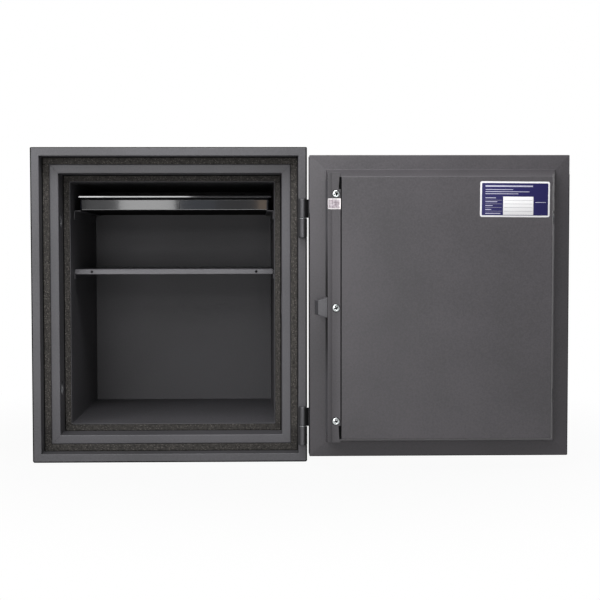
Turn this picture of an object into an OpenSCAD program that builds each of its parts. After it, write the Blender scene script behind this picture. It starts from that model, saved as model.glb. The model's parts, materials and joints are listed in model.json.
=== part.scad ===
// Fire-resistant document safe: a double-walled insulated steel cabinet with a
// plug door on lift-off hinges, key-locked two-bolt boltwork, a shelf and a tray.
//
// Frame: X to the right, Y away from the person opening it, Z up. The origin is at
// the centre of the cabinet's footprint, on the face it stands on. The model stands
// with its door swung open through 180 degrees, bolts drawn back.
// "Inset" is measured inwards from a side, "depth" backwards from the front face.

/* [Cabinet] */
// Overall width of the cabinet
body_w = 438; // [420:1:480]
// Overall height of the cabinet
body_h = 502; // [480:1:560]
// Depth of the inner compartment behind the door rebates
cavity_d = 320; // [300:5:360]
// Thickness of the insulated back wall
back_wall = 48; // [45:0.5:60]
// Thickness of the outer steel sheet
casing_t = 1.5; // [1.2:0.1:2]
// Bend radius on the long edges of the casing
casing_r = 3; // [2:0.5:4]
// Thickness of the inner liner sheet
liner_t = 1.2; // [1:0.1:1.4]

/* [Door rebates] */
// Width of the front flange
flange_w = 14; // [13:0.5:16]
// Depth of the outer rebate
rebate_1 = 28; // [27.5:0.5:30]
// Width of the outer thermal break
ring_1_w = 11; // [10:0.5:12]
// Extra depth across the outer thermal break
ring_1_s = 4.5; // [4:0.5:5]
// Width of the middle frame's face
mid_face_w = 14.5; // [14:0.5:16]
// Depth of the inner rebate
rebate_2 = 45.5; // [45.5:0.5:48]
// Width of the inner thermal break
ring_2_w = 11; // [10:0.5:12]
// Extra depth across the inner thermal break
ring_2_s = 8; // [7:0.5:9]

/* [Door] */
// Gap between the door's edge and the flange
door_gap = 2; // [2:0.5:2.5]
// Thickness of the door at its edge
door_edge = 26; // [25:0.5:26]
// Thickness of the door where the plug starts
plug_base = 28.5; // [28:0.5:29]
// Full thickness of the door over its plug
door_t = 77; // [75:0.5:77]
// Inset of the plug's foot from the door's edge
plug_inset = 23; // [23:0.5:24]
// Inset of the plug's face from the door's upper edge
plug_top_inset = 36; // [35:0.5:38]
// Inset of the plug's face from the door's lower edge
plug_low_inset = 34; // [34:0.5:38]
// Inset of the plug's face from the door's lock-side edge
plug_lock_inset = 39; // [36:0.5:39]
// Inset of the plug's upright side next to the hinges
plug_hinge_inset = 26; // [26:0.5:27]
// Thickness of the pressed inner pan
pan_t = 1.2; // [1:0.1:1.2]

/* [Hinges] */
// Distance of the hinge axis from the cabinet's right side
hinge_inset = 7.25; // [7:0.25:7.5]
// Distance of the hinge axis in front of the cabinet
hinge_out = 7; // [7:0.25:8]
// Outside radius of the hinge knuckles
knuckle_r = 6.7; // [6:0.1:6.7]
// Height of one knuckle
knuckle_h = 30.5; // [26:0.5:34]
// Radius of the hinge pins
hinge_pin_r = 4; // [3:0.25:4.5]
// Height of the joint in the upper hinge
upper_hinge_z = 389; // [370:1:400]
// Height of the joint in the lower hinge
lower_hinge_z = 59; // [50:1:90]

/* [Boltwork] */
// Radius of the round bolts
bolt_r = 10; // [8:0.5:10]
// Height of each bolt above or below the door's middle
bolt_reach = 137; // [130:1:145]
// Depth of the bolts' centre line behind the front face
bolt_depth = 55; // [54:0.5:56]
// Travel of the bolts
bolt_throw = 18; // [16:0.5:18]
// Distance of the handle's axis from the door's middle, towards the lock side
handle_off = 117; // [115:0.5:118]
// Height of the keyhole above the handle
keyhole_up = 62; // [58:1:70]

/* [Shelf and tray] */
// Height of the shelf's upper face
shelf_z = 307; // [250:1:330]
// Depth of the shelf, front to back
shelf_d = 280; // [240:5:280]
// Height of the lip along the shelf's front
shelf_lip = 8.5; // [6:0.5:12]
// Height of the tray's rim
tray_z = 430.5; // [420:0.1:435]
// Height of the tray
tray_h = 24.2; // [18:0.1:26]
// Depth of the tray, front to back, over its rim
tray_d = 279; // [240:1:279]
// How far the tray stands to the right of the middle, within its play
tray_play = 0.8; // [-2:0.1:2]
// Width of the ledges that carry the shelf and the tray
ledge_w = 12; // [10:0.5:14]

/* [Hidden] */
$fn = 64;
fit = 0.3;          // gap between parts that slide past each other
running = 0.05;     // radial clearance of a pin or bolt in its bore
past = 1;           // how far a cut runs past the face it opens

// Insets of the stepped door frame, from the cabinet's side to the compartment
inset_1 = flange_w;
inset_2 = inset_1 + ring_1_w;
inset_3 = inset_2 + mid_face_w;
wall = inset_3 + ring_2_w;
// Depths of the stepped door frame, from the front face to the compartment
depth_2 = rebate_1 + ring_1_s;
depth_3 = depth_2 + rebate_2;
cavity_front = depth_3 + ring_2_s;
cavity_back = cavity_front + cavity_d;
body_d = cavity_back + back_wall;
cavity_w = body_w - 2 * wall;
mid_z = body_h / 2;

// Door outline, and the hinge axis it turns about
door_w = body_w - 2 * (flange_w + door_gap);
door_h = body_h - 2 * (flange_w + door_gap);
hinge_x = body_w / 2 - hinge_inset;
knuckle_gap = 0.5;  // from a hinge's joint to each of its knuckles
pin_down = knuckle_h - 3;

// Boltwork places, in the closed door, with the bolts drawn back
bolt_tip_x = -door_w / 2 + 33.5;
bush_x = -door_w / 2 + 38;
bush_l = 15;
bush_r = bolt_r + 3.7;
bar_x = bush_x + bush_l + bolt_throw + 1;
bar_w = 12;
bar_d = 18;
bar_front = bolt_depth - bar_d / 2;
bar_back_x = bar_x + bar_w;
tenon_r = 4;
crank_r = bolt_throw / sqrt(2);
crank_pin_r = 3;
crank_tilt = 45;
crank_slot_x = -handle_off + bolt_throw / 2;
plate_end_x = crank_slot_x + 9;
plate_t = 4;
plate_h = 52;
plate_screw_r = 2;
plate_screw_up = 20;
arm_front = bar_front - 8;
arm_t = 5;
spindle_r = 5;
spindle_bush_r = 9;
spindle_end = -26;
hub_r = 12;
grip_y = -44;
grip_l = 104;
case_front = arm_front - 3;

// Lock places
handle_z = mid_z;
keyhole_z = handle_z + keyhole_up;
core_r = 8;
core_back = casing_t + 13;
lock_w = 44;
lock_h = 60;
lock_back = casing_t + 22;
lock_low_z = keyhole_z - 26;
cover_up = 14;      // how far the cover's rivet is above the keyhole
cover_rivet_r = 2;

// What the bolts and the fixed dog reach into when the door is locked
socket_r = bolt_r + 1.5;
socket_t = 1.5;
socket_l = 22.5;
dog_h = 31;
dog_tip_h = 22;
dog_out = 21.5;
dog_front = 50;
dog_back = 72;
pocket_d = dog_back - dog_front + 14;
pocket_h = dog_h + 8;
pocket_reach = 21;

// How far back the two thermal breaks reach, and the fill's pouring holes
break_1_back = dog_front - 12;
break_2_back = depth_3 + 20;
pour_r = 15;
pour_x = body_w / 4;
pour_plug_l = 8;

// Shelf and tray places
shelf_front = cavity_front + 34.5;
shelf_t = 1.2;
tray_front = cavity_front + 38;
tray_rim_w = 4.5;
ledge_front = shelf_front + 4;
ledge_l = shelf_d - 4;
ledge_h = 15;
ledge_t = 1.5;

// The strip on the plug's hinge side, and the three screws through it
strip_x = door_w / 2 - plug_hinge_inset - 19;
strip_w = 19.5;
strip_h = door_h - 60;
strip_t = 2;
strip_low_t = 1.2;
strip_step = 13;    // width of the strip's thicker part
screw_x = strip_x + 7;
screw_r = 2.5;
screw_gap = 172.5;
screw_head_r = 5.5;

// ---------------------------------------------------------------- helpers

// Puts children drawn with Y as depth behind the front face into the model's frame
module behind_front() {
    translate([0, -body_d / 2, 0]) children();
}

// Swings children drawn on the closed door round the hinge axis to the open pose
module on_open_door() {
    behind_front()
        translate([hinge_x, -hinge_out, 0]) rotate([0, 0, 180])
            translate([-hinge_x, hinge_out, 0]) children();
}

// A flat outline in X and Z, given thickness from one depth to another
module slab(from, to) {
    translate([0, to, 0]) rotate([90, 0, 0]) linear_extrude(to - from) children();
}

// A cylinder along the depth direction
module rod_y(x, z, r, from, to) {
    translate([x, to, z]) rotate([90, 0, 0]) cylinder(r = r, h = to - from);
}

// A cylinder along X
module rod_x(from, to, y, z, r) {
    translate([from, y, z]) rotate([0, 90, 0]) cylinder(r = r, h = to - from);
}

// The cabinet's front outline, drawn in by an inset
module body_outline(inset) {
    translate([-body_w / 2 + inset, inset])
        square([body_w - 2 * inset, body_h - 2 * inset]);
}

// The same outline with rounded corners
module rounded_outline(inset, r) {
    for (x = [-1, 1], z = [0, 1])
        translate([x * (body_w / 2 - inset - r), z ? body_h - inset - r : inset + r])
            circle(r);
    translate([-body_w / 2 + inset + r, inset])
        square([body_w - 2 * (inset + r), body_h - 2 * inset]);
    translate([-body_w / 2 + inset, inset + r])
        square([body_w - 2 * inset, body_h - 2 * (inset + r)]);
}

// A rectangular ring between two insets and two depths
module frame_ring(outer, inner, from, to) {
    slab(from, to) difference() {
        body_outline(outer);
        body_outline(inner);
    }
}

// A wedge-faced ring: its face slopes back from the outer inset to the inner one
module sloped_ring(outer, inner, from, slope, to) {
    difference() {
        frame_ring(outer, inner, from, to);
        sloped_mouth(outer, inner, from, slope);
    }
}

// The funnel that a sloping ring's face leaves open
module sloped_mouth(outer, inner, from, slope) {
    run = inner - outer;
    intersection() {
        linear_extrude(body_h) polygon([
            [-body_w / 2 + outer, from - past], [-body_w / 2 + outer, from],
            [-body_w / 2 + outer + run, from + slope],
            [body_w / 2 - outer - run, from + slope],
            [body_w / 2 - outer, from], [body_w / 2 - outer, from - past]
        ]);
        translate([body_w / 2, 0, 0]) rotate([0, -90, 0])
            linear_extrude(body_w) polygon([
                [outer, from - past], [outer, from], [outer + run, from + slope],
                [body_h - outer - run, from + slope],
                [body_h - outer, from], [body_h - outer, from - past]
            ]);
    }
}

// ---------------------------------------------------------------- cabinet

// The outline of the space inside the casing, with its bends' inner radius
module casing_inside() {
    rounded_outline(casing_t, casing_r - casing_t + 0.5);
}

module outer_casing() {
    color("#605f64") behind_front() slab(casing_t, body_d - casing_t) difference() {
        rounded_outline(0, casing_r);
        casing_inside();
    }
}

// The two holes that the insulation is poured through
module pouring_holes(from) {
    for (x = [-1, 1]) rod_y(x * pour_x, mid_z, pour_r, from, body_d + past);
}

module back_panel() {
    color("#605f64") behind_front() difference() {
        slab(body_d - casing_t, body_d) rounded_outline(0, casing_r);
        pouring_holes(body_d - pour_plug_l);
    }
}

// Flanged plugs that close the pouring holes
module filler_plugs() {
    color("#2b2b2d") behind_front() for (x = [-1, 1]) {
        rod_y(x * pour_x, mid_z, pour_r, body_d - pour_plug_l, body_d);
        rod_y(x * pour_x, mid_z, pour_r + 3, body_d, body_d + 1.2);
    }
}

module front_frame() {
    color("#626167") behind_front() {
        slab(0, casing_t) difference() {
            rounded_outline(0, casing_r);
            body_outline(inset_1);
        }
        frame_ring(inset_1 - casing_t, inset_1, 0, rebate_1);
    }
}

module outer_thermal_break() {
    color("#3b3835") behind_front()
        sloped_ring(inset_1 - casing_t, inset_2, rebate_1, ring_1_s, break_1_back);
}

module middle_frame() {
    color("#626167") behind_front() difference() {
        union() {
            frame_ring(inset_2, inset_3, depth_2, depth_2 + casing_t);
            frame_ring(inset_2, inset_2 + casing_t, depth_2, break_1_back);
            frame_ring(inset_3 - casing_t, inset_3, depth_2, depth_3);
        }
        for (z = [-1, 1])
            rod_x(-body_w / 2 + inset_2 + 2 * casing_t, -body_w / 2 + inset_3 + past,
                bolt_depth, mid_z + z * bolt_reach, socket_r);
        pocket_box(body_w / 2 - inset_3 - past, casing_t + 2 * past, -socket_t);
    }
}

module inner_thermal_break() {
    color("#3b3835") behind_front()
        sloped_ring(inset_3 - casing_t, wall - liner_t, depth_3, ring_2_s * 0.9,
            break_2_back);
}

// Cast fill between the casing and the liner, moulded round everything set in it
module body_insulation() {
    color("#b9b4a8") behind_front() difference() {
        slab(casing_t, body_d - casing_t) casing_inside();
        frame_ring(inset_1 - casing_t, inset_2 + casing_t, 0, break_1_back);
        slab(0, depth_2 + casing_t) body_outline(inset_2);
        slab(0, break_2_back) body_outline(inset_3 - casing_t);
        slab(0, cavity_back + liner_t) body_outline(wall - liner_t);
        for (z = [-1, 1])
            rod_x(-body_w / 2 + inset_3 - casing_t - socket_l, -body_w / 2 + inset_3,
                bolt_depth, mid_z + z * bolt_reach, socket_r + socket_t);
        pocket_box(body_w / 2 - inset_3, casing_t + pocket_reach, 0);
        pouring_holes(body_d - pour_plug_l);
    }
}

module inner_liner() {
    color("#3a3a3d") behind_front() {
        frame_ring(wall - liner_t, wall, cavity_front - ring_2_s * 0.1, cavity_back);
        slab(cavity_back, cavity_back + liner_t) body_outline(wall - liner_t);
    }
}

// A steel cup behind a bolt hole, which keeps the fill clear of the bolt
module bolt_socket(z) {
    x = -body_w / 2 + inset_3 - casing_t;
    color("#8d8f92") behind_front() difference() {
        rod_x(x - socket_l, x, bolt_depth, z, socket_r + socket_t);
        rod_x(x - socket_l + socket_t, x + past, bolt_depth, z, socket_r);
    }
}

// A box from one X along a length, as large as the dog's pocket and grown all round
module pocket_box(from, length, grow) {
    translate([from, dog_front - 11 - grow, mid_z - pocket_h / 2 - grow])
        cube([length, pocket_d + 2 * grow, pocket_h + 2 * grow]);
}

// A steel box behind the slot that the hinge-side dog swings into
module dog_pocket() {
    x = body_w / 2 - inset_3 + casing_t;
    color("#8d8f92") behind_front() difference() {
        pocket_box(x, pocket_reach, 0);
        pocket_box(x - past, pocket_reach, -socket_t);
    }
}

// An angle along a side wall: side is -1 for left, 1 for right
module ledge(side, top) {
    color("#3a3a3d") behind_front() translate([side * cavity_w / 2, ledge_front, 0])
        mirror([side > 0 ? 1 : 0, 0, 0]) {
            translate([0, 0, top - ledge_t]) cube([ledge_w, ledge_l, ledge_t]);
            translate([0, 0, top - ledge_h]) cube([ledge_t, ledge_l, ledge_h]);
        }
}

module shelf() {
    w = cavity_w - 4;
    lip_h = shelf_lip - shelf_t;
    back_lip_w = w - 2 * ledge_w - 8;
    color("#5b5b60") behind_front() {
        translate([-w / 2, shelf_front, shelf_z - shelf_t]) cube([w, shelf_d, shelf_t]);
        difference() {
            translate([-w / 2, shelf_front, shelf_z - shelf_lip])
                cube([w, shelf_t, lip_h]);
            for (x = [-1, 1])
                rod_y(x * (w / 2 - 28), shelf_z - 5, 1.75, shelf_front - past,
                    shelf_front + shelf_t + past);
        }
        translate([-back_lip_w / 2, shelf_front + shelf_d - shelf_t, shelf_z - shelf_lip])
            cube([back_lip_w, shelf_t, lip_h]);
    }
}

// The tray's rounded outline in X and Y, grown from the outside of its walls
module tray_outline(grow, r) {
    w = cavity_w - 8 - 2 * tray_rim_w + 2 * grow;
    d = tray_d - 2 * tray_rim_w + 2 * grow;
    translate([tray_play - w / 2, tray_front + tray_rim_w - grow]) {
        for (x = [r, w - r], y = [r, d - r]) translate([x, y]) circle(r);
        translate([r, 0]) square([w - 2 * r, d]);
        translate([0, r]) square([w, d - 2 * r]);
    }
}

module tray() {
    wall_t = 2;
    rim_t = 1.6;
    color("#3d4046") behind_front() translate([0, 0, tray_z - tray_h]) difference() {
        union() {
            linear_extrude(tray_h) tray_outline(0, 3.5);
            translate([0, 0, tray_h - rim_t]) linear_extrude(rim_t)
                tray_outline(tray_rim_w, 4);
        }
        translate([0, 0, wall_t]) linear_extrude(tray_h) tray_outline(-wall_t, 2.5);
    }
}

// ---------------------------------------------------------------- hinges

// A knuckle's outer profile, with one rounded end: radius against height
module knuckle_body(r, h) {
    edge = 2.5;
    rotate_extrude() {
        square([r, h - edge]);
        square([r - edge, h]);
        translate([r - edge, h - edge]) circle(edge);
    }
}

// The fixed lower knuckle, welded to the flange through a small pad
module body_knuckle(z) {
    pad_w = 9;
    pad_d = 4.5;
    color("#56565b") behind_front() difference() {
        union() {
            translate([hinge_x, -hinge_out, z - knuckle_gap]) mirror([0, 0, 1])
                knuckle_body(knuckle_r, knuckle_h);
            translate([hinge_x - pad_w / 2, -pad_d, z - knuckle_h + 3])
                cube([pad_w, pad_d, knuckle_h - 5]);
        }
        translate([hinge_x, -hinge_out, z - pin_down])
            cylinder(r = hinge_pin_r, h = knuckle_h);
    }
}

module hinge_pin(z) {
    color("#b8babd") behind_front()
        translate([hinge_x, -hinge_out, z - pin_down])
            cylinder(r = hinge_pin_r, h = pin_down + knuckle_h - 4);
}

module hinge_washers() {
    color("#c9a44c") behind_front() for (z = [upper_hinge_z, lower_hinge_z])
        translate([hinge_x, -hinge_out, z - knuckle_gap]) difference() {
            cylinder(r = knuckle_r - 0.2, h = 0.8);
            translate([0, 0, -past]) cylinder(r = hinge_pin_r, h = 3 * past);
        }
}

// The lifting upper knuckle and its leaf, welded to the outside of the door
module door_knuckle(z) {
    leaf_t = 3;
    leaf_w = 24;
    neck_w = 2;
    color("#56565b") on_open_door() difference() {
        union() {
            translate([hinge_x, -hinge_out, z + knuckle_gap])
                knuckle_body(knuckle_r, knuckle_h);
            translate([door_w / 2 - leaf_w, -leaf_t, z + knuckle_gap])
                cube([leaf_w - 0.5, leaf_t, knuckle_h]);
            translate([door_w / 2 - neck_w, -leaf_t - 0.4, z + knuckle_gap])
                cube([hinge_x - door_w / 2 + neck_w, leaf_t, knuckle_h]);
        }
        translate([hinge_x, -hinge_out, z])
            cylinder(r = hinge_pin_r + running, h = knuckle_h - 2.5);
    }
}

// ---------------------------------------------------------------- door shell

// The door's profile at one edge, from the edge inwards and from a floor depth up:
// the flange, the plug's foot and the plug's side, drawn in by a skin's thickness t
function edge_profile(t, floor, foot, top) = [
    [t > 0 ? -past : 0, floor],
    [t > 0 ? -past : 0, door_edge - (t > 0 ? t + 0.2 : 0)],
    [foot + t, plug_base - t],
    [top + t, door_t - t]
];

// A whole section of the door, with one profile at its low edge and one at its high
function section(size, low, high) = concat(low, [
    for (i = [len(high) - 1 : -1 : 0]) [size - high[i][0], high[i][1]]
]);

// The solid under the pan's face: both sections carried across and intersected
module plug_solid(t, floor) {
    upper = edge_profile(t, floor, plug_inset, plug_top_inset);
    lower = edge_profile(t, floor, plug_inset, plug_low_inset);
    locking = edge_profile(t, floor, plug_inset, plug_lock_inset);
    upright = edge_profile(t, floor, plug_hinge_inset, plug_hinge_inset);
    intersection() {
        translate([-door_w / 2, 0, 0]) linear_extrude(body_h)
            polygon(section(door_w, locking, upright));
        translate([body_w / 2, 0, mid_z - door_h / 2]) rotate([0, -90, 0])
            linear_extrude(body_w) polygon(section(door_h, lower, upper));
    }
}

// The bores that the bolts come out of
module bolt_bores(r, from, to) {
    for (z = [-1, 1]) rod_x(from, to, bolt_depth, mid_z + z * bolt_reach, r);
}

module door_outline(inset) {
    translate([-door_w / 2 + inset, mid_z - door_h / 2 + inset])
        square([door_w - 2 * inset, door_h - 2 * inset]);
}

module door_skin() {
    color("#626167") on_open_door() difference() {
        union() {
            slab(0, casing_t) door_outline(0);
            slab(0, door_edge - pan_t) difference() {
                door_outline(0);
                door_outline(casing_t);
            }
        }
        rod_y(-handle_off, handle_z, spindle_bush_r, -past, casing_t + past);
        rod_y(-handle_off, keyhole_z, core_r + 2 * running, -past, casing_t + past);
        rod_y(-handle_off, keyhole_z + cover_up, cover_rivet_r, -past, casing_t + past);
    }
}

// The holes of the strip's screws, from a depth out through the strip
module screw_holes(from) {
    for (z = [-1, 0, 1])
        rod_y(screw_x, mid_z + z * screw_gap, screw_r, from, door_t + strip_t + past);
}

module door_inner_pan() {
    color("#56555a") on_open_door() difference() {
        plug_solid(0, door_edge - pan_t);
        plug_solid(pan_t, door_edge - 6);
        bolt_bores(bolt_r + 1, -door_w / 2, bush_x + 4);
        screw_holes(door_t - 4);
    }
}

// The boxed space that the boltwork moves in
module boltwork_space(grow) {
    from = bush_x + bush_l - 3;
    half_h = bolt_reach + 17;
    translate([from - grow, bolt_depth - 16 - grow, mid_z - half_h - grow])
        cube([plate_end_x + 1 - from + 2 * grow, 31 + 2 * grow, 2 * (half_h + grow)]);
    translate([-handle_off - 21 - grow, case_front - grow, handle_z - 20 - grow])
        cube([42 + 2 * grow, 12 + 2 * grow, 44 + 2 * grow]);
}

module boltwork_case() {
    color("#8d8f92") on_open_door() difference() {
        boltwork_space(1);
        boltwork_space(0);
        rod_y(-handle_off, handle_z, spindle_bush_r, case_front - 2, case_front + 2);
        bolt_bores(bush_r, bush_x, bush_x + bush_l);
    }
}

module door_insulation() {
    color("#b9b4a8") on_open_door() difference() {
        intersection() {
            plug_solid(pan_t + 0.1, casing_t);
            slab(casing_t, door_t) door_outline(casing_t);
        }
        boltwork_space(1);
        bolt_bores(bush_r, -door_w / 2, bush_x + bush_l);
        rod_y(-handle_off, handle_z, spindle_bush_r, 0, case_front);
        lock_box();
        screw_holes(door_t - 16);
    }
}

// ---------------------------------------------------------------- door fittings

// The cover strip along the plug's hinge side, stepped down on its outer side
module hinge_side_strip() {
    color("#5a595e") on_open_door() difference() {
        translate([strip_x, door_t, mid_z - strip_h / 2]) {
            cube([strip_step, strip_t, strip_h]);
            cube([strip_w, strip_low_t, strip_h]);
        }
        screw_holes(door_t - past);
    }
}

// Pan-head cross-recess screws that hold the strip
module strip_screws() {
    head = door_t + strip_t;
    color("#d4d6d8") on_open_door() for (z = [-1, 0, 1])
        translate([screw_x, 0, mid_z + z * screw_gap]) difference() {
            union() {
                rod_y(0, 0, screw_r, door_t - 14, head);
                rod_y(0, 0, screw_head_r, head, head + 1.2);
                rod_y(0, 0, screw_head_r - 1.4, head + 1.2, head + 2.2);
            }
            for (a = [0, 90]) translate([0, head + 2.2, 0]) rotate([0, a, 0])
                cube([5.6, 2.4, 1.1], center = true);
        }
}

// The wedge-shaped fixed dog that locks the hinge side of the closed door
module hinge_side_dog() {
    root = door_w / 2 - plug_hinge_inset;
    color("#606064") on_open_door() translate([0, 0, mid_z]) intersection() {
        slab(dog_front, dog_back) polygon([
            [root, -dog_h / 2], [root + dog_out, -dog_tip_h / 2],
            [root + dog_out, dog_tip_h / 2], [root, dog_h / 2]
        ]);
        translate([0, 0, -dog_h / 2]) linear_extrude(dog_h) polygon([
            [root, dog_front], [root + dog_out, dog_front],
            [root + dog_out - 4.5, dog_back], [root, dog_back]
        ]);
    }
}

// The swelling fire seal on the plug's upright side, in two lengths beside the dog
module hinge_side_seal() {
    strip_l = (door_h - dog_h) / 2 - plug_top_inset - 4;
    color("#141414") on_open_door() for (z = [-1, 1])
        translate([door_w / 2 - plug_hinge_inset, door_t - 46,
            mid_z + z * (dog_h / 2 + 1 + strip_l / 2) - strip_l / 2])
            cube([1, 42, strip_l]);
}

// The foil seal stuck across the strip just under its top screw
module foil_seal() {
    color("#d8c9cb") on_open_door()
        translate([strip_x, door_t + strip_t, mid_z + screw_gap - 23])
            cube([strip_w - 0.2, 0.25, 16]);
}

// A blank data plate with rounded corners
module rating_plate() {
    w = 106;
    h = 54;
    r = 3;
    color("#e9eaec") on_open_door() slab(door_t, door_t + 0.4)
        translate([-door_w / 2 + 43.5, mid_z + 137]) {
            for (x = [r, w - r], z = [r, h - r]) translate([x, z]) circle(r);
            translate([r, 0]) square([w - 2 * r, h]);
            translate([0, r]) square([w, h - 2 * r]);
        }
}

// ---------------------------------------------------------------- boltwork

module bolt_guide(z) {
    color("#c9a44c") on_open_door() difference() {
        rod_x(bush_x, bush_x + bush_l, bolt_depth, z, bush_r);
        rod_x(bush_x - past, bush_x + bush_l + past, bolt_depth, z, bolt_r + running);
    }
}

// A round bolt with a bevelled nose, and a tenon pressed through the bolt bar
module bolt(z) {
    nose = 1.5;
    color("#d4d6d8") on_open_door() {
        translate([bolt_tip_x + nose, bolt_depth, z]) rotate([0, -90, 0])
            cylinder(r1 = bolt_r, r2 = bolt_r - nose, h = nose);
        rod_x(bolt_tip_x + nose, bar_x, bolt_depth, z, bolt_r);
        rod_x(bar_x, bar_back_x, bolt_depth, z, tenon_r);
    }
}

// The holes of the two screws that join the drive plate to the bar
module plate_screw_holes() {
    for (z = [-1, 1])
        rod_x(bar_back_x - 8, bar_back_x + 4, bolt_depth, mid_z + z * plate_screw_up,
            plate_screw_r);
}

module bolt_bar() {
    color("#9a9c9f") on_open_door() difference() {
        translate([bar_x, bar_front, mid_z - bolt_reach - 14])
            cube([bar_w, bar_d, 2 * bolt_reach + 28]);
        bolt_bores(tenon_r, bar_x - past, bar_back_x + past);
        plate_screw_holes();
    }
}

// The plate with the upright slot that the crank pin works in
module drive_plate() {
    slot_w = 2 * crank_pin_r + 1.4;
    color("#9a9c9f") on_open_door() difference() {
        translate([bar_back_x, bar_front, mid_z - plate_h / 2]) {
            cube([plate_end_x - bar_back_x, plate_t, plate_h]);
            cube([3, 14, plate_h]);
        }
        translate([crank_slot_x - slot_w / 2, bar_front - past, handle_z + 4.5])
            cube([slot_w, plate_t + 2 * past, 14]);
        plate_screw_holes();
    }
}

module drive_plate_screws() {
    color("#d4d6d8") on_open_door() for (z = [-1, 1]) {
        rod_x(bar_back_x - 8, bar_back_x + 3, bolt_depth, mid_z + z * plate_screw_up,
            plate_screw_r);
        rod_x(bar_back_x + 3, bar_back_x + 5, bolt_depth, mid_z + z * plate_screw_up, 3.5);
    }
}

// ---------------------------------------------------------------- handle and lock

// The bush that the spindle turns in, through the door's outer skin and fill
module spindle_bush() {
    color("#c9a44c") on_open_door() difference() {
        rod_y(-handle_off, handle_z, spindle_bush_r, 0, case_front);
        rod_y(-handle_off, handle_z, spindle_r + running, -past, case_front + past);
    }
}

module handle_rose() {
    color("#d4d6d8") on_open_door() difference() {
        translate([-handle_off, 0, handle_z]) rotate([90, 0, 0])
            cylinder(r1 = 26, r2 = 22, h = 7);
        rod_y(-handle_off, handle_z, hub_r + 0.5, -8, past);
    }
}

// A lever: a round hub, a neck and a tapering grip that hangs down when unlocked
module handle_lever() {
    neck_y = grip_y + 8;
    color("#d4d6d8") on_open_door() translate([-handle_off, 0, handle_z]) difference() {
        union() {
            rod_y(0, 0, hub_r, neck_y, -0.5);
            translate([0, neck_y, 0]) sphere(hub_r);
            hull() {
                translate([0, neck_y, 0]) sphere(hub_r - 1, $fn = 32);
                translate([0, grip_y, -38]) sphere(9, $fn = 32);
            }
            hull() {
                translate([0, grip_y, -38]) sphere(9, $fn = 32);
                translate([0, grip_y + 2, -grip_l]) sphere(7.5, $fn = 32);
            }
        }
        rod_y(0, 0, spindle_r, spindle_end, past);
    }
}

module handle_spindle() {
    color("#9a9c9f") on_open_door()
        rod_y(-handle_off, handle_z, spindle_r, spindle_end, arm_front + arm_t);
}

// Puts children drawn round the spindle's axis on the crank, towards the lock side
module on_crank() {
    on_open_door() translate([-handle_off, 0, handle_z]) rotate([0, -crank_tilt, 0])
        children();
}

// The crank on the spindle's inner end
module cam_arm() {
    arm_back = arm_front + arm_t;
    eye_r = 5.5;
    color("#9a9c9f") on_crank() difference() {
        union() {
            rod_y(0, 0, spindle_r + 4, arm_front, arm_back);
            rod_y(crank_r, 0, eye_r, arm_front, arm_back);
            translate([0, arm_front, -eye_r]) cube([crank_r, arm_t, 2 * eye_r]);
        }
        rod_y(0, 0, spindle_r, arm_front - past, arm_back + past);
        rod_y(crank_r, 0, crank_pin_r, arm_front - past, arm_back + past);
    }
}

module cam_pin() {
    color("#d4d6d8") on_crank()
        rod_y(crank_r, 0, crank_pin_r, arm_front, bar_front + plate_t + 1);
}

// The lock case's block
module lock_box() {
    translate([-handle_off - lock_w / 2, casing_t, lock_low_z])
        cube([lock_w, lock_back - casing_t, lock_h]);
}

module lock_case() {
    color("#8d8f92") on_open_door() difference() {
        lock_box();
        rod_y(-handle_off, keyhole_z, core_r + running, 0, core_back - 1);
        rod_y(-handle_off, keyhole_z, 17, core_back - 1, lock_back - 2);
        rod_y(-handle_off, keyhole_z + cover_up, cover_rivet_r, 0, casing_t + 8);
    }
}

// A drop-shaped plate round the keyhole and the rivet above it
module drop_plate(low_r, high_r, from, to) {
    hull() {
        rod_y(-handle_off, keyhole_z, low_r, from, to);
        rod_y(-handle_off, keyhole_z + cover_up, high_r, from, to);
    }
}

module keyhole_escutcheon() {
    color("#d4d6d8") on_open_door() difference() {
        drop_plate(15, 8, -1.6, 0);
        rod_y(-handle_off, keyhole_z, core_r + running, -3, past);
        rod_y(-handle_off, keyhole_z + cover_up, cover_rivet_r, -3, past);
    }
}

// The turning core, with its key slot
module lock_core() {
    color("#c9a44c") on_open_door() difference() {
        rod_y(-handle_off, keyhole_z, core_r, -1.4, core_back);
        translate([-handle_off - 1, -3, keyhole_z - 5]) cube([2, core_back, 10]);
        rod_y(-handle_off, keyhole_z + 2.5, 2.4, -3, 10);
    }
}

// The tail on the core's inner end, inside the lock case
module core_tail() {
    tail_w = 8;
    tail_l = 14;
    color("#9a9c9f") on_open_door() translate([-handle_off, core_back, keyhole_z]) {
        rod_y(0, 0, core_r - 1, 0, 4);
        translate([-tail_w / 2, 0, -tail_l]) cube([tail_w, 4, tail_l]);
    }
}

module cover_rivet() {
    color("#d4d6d8") on_open_door() {
        rod_y(-handle_off, keyhole_z + cover_up, cover_rivet_r, -4, 6);
        rod_y(-handle_off, keyhole_z + cover_up, 3.6, -5, -4);
    }
}

// The drop-shaped cover that hangs from its rivet in front of the keyhole
module keyhole_cover() {
    color("#d4d6d8") on_open_door() difference() {
        drop_plate(11, 5.5, -3.7, -1.9);
        rod_y(-handle_off, keyhole_z + cover_up, cover_rivet_r + running, -5, 0);
    }
}

// ---------------------------------------------------------------- model

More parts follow.
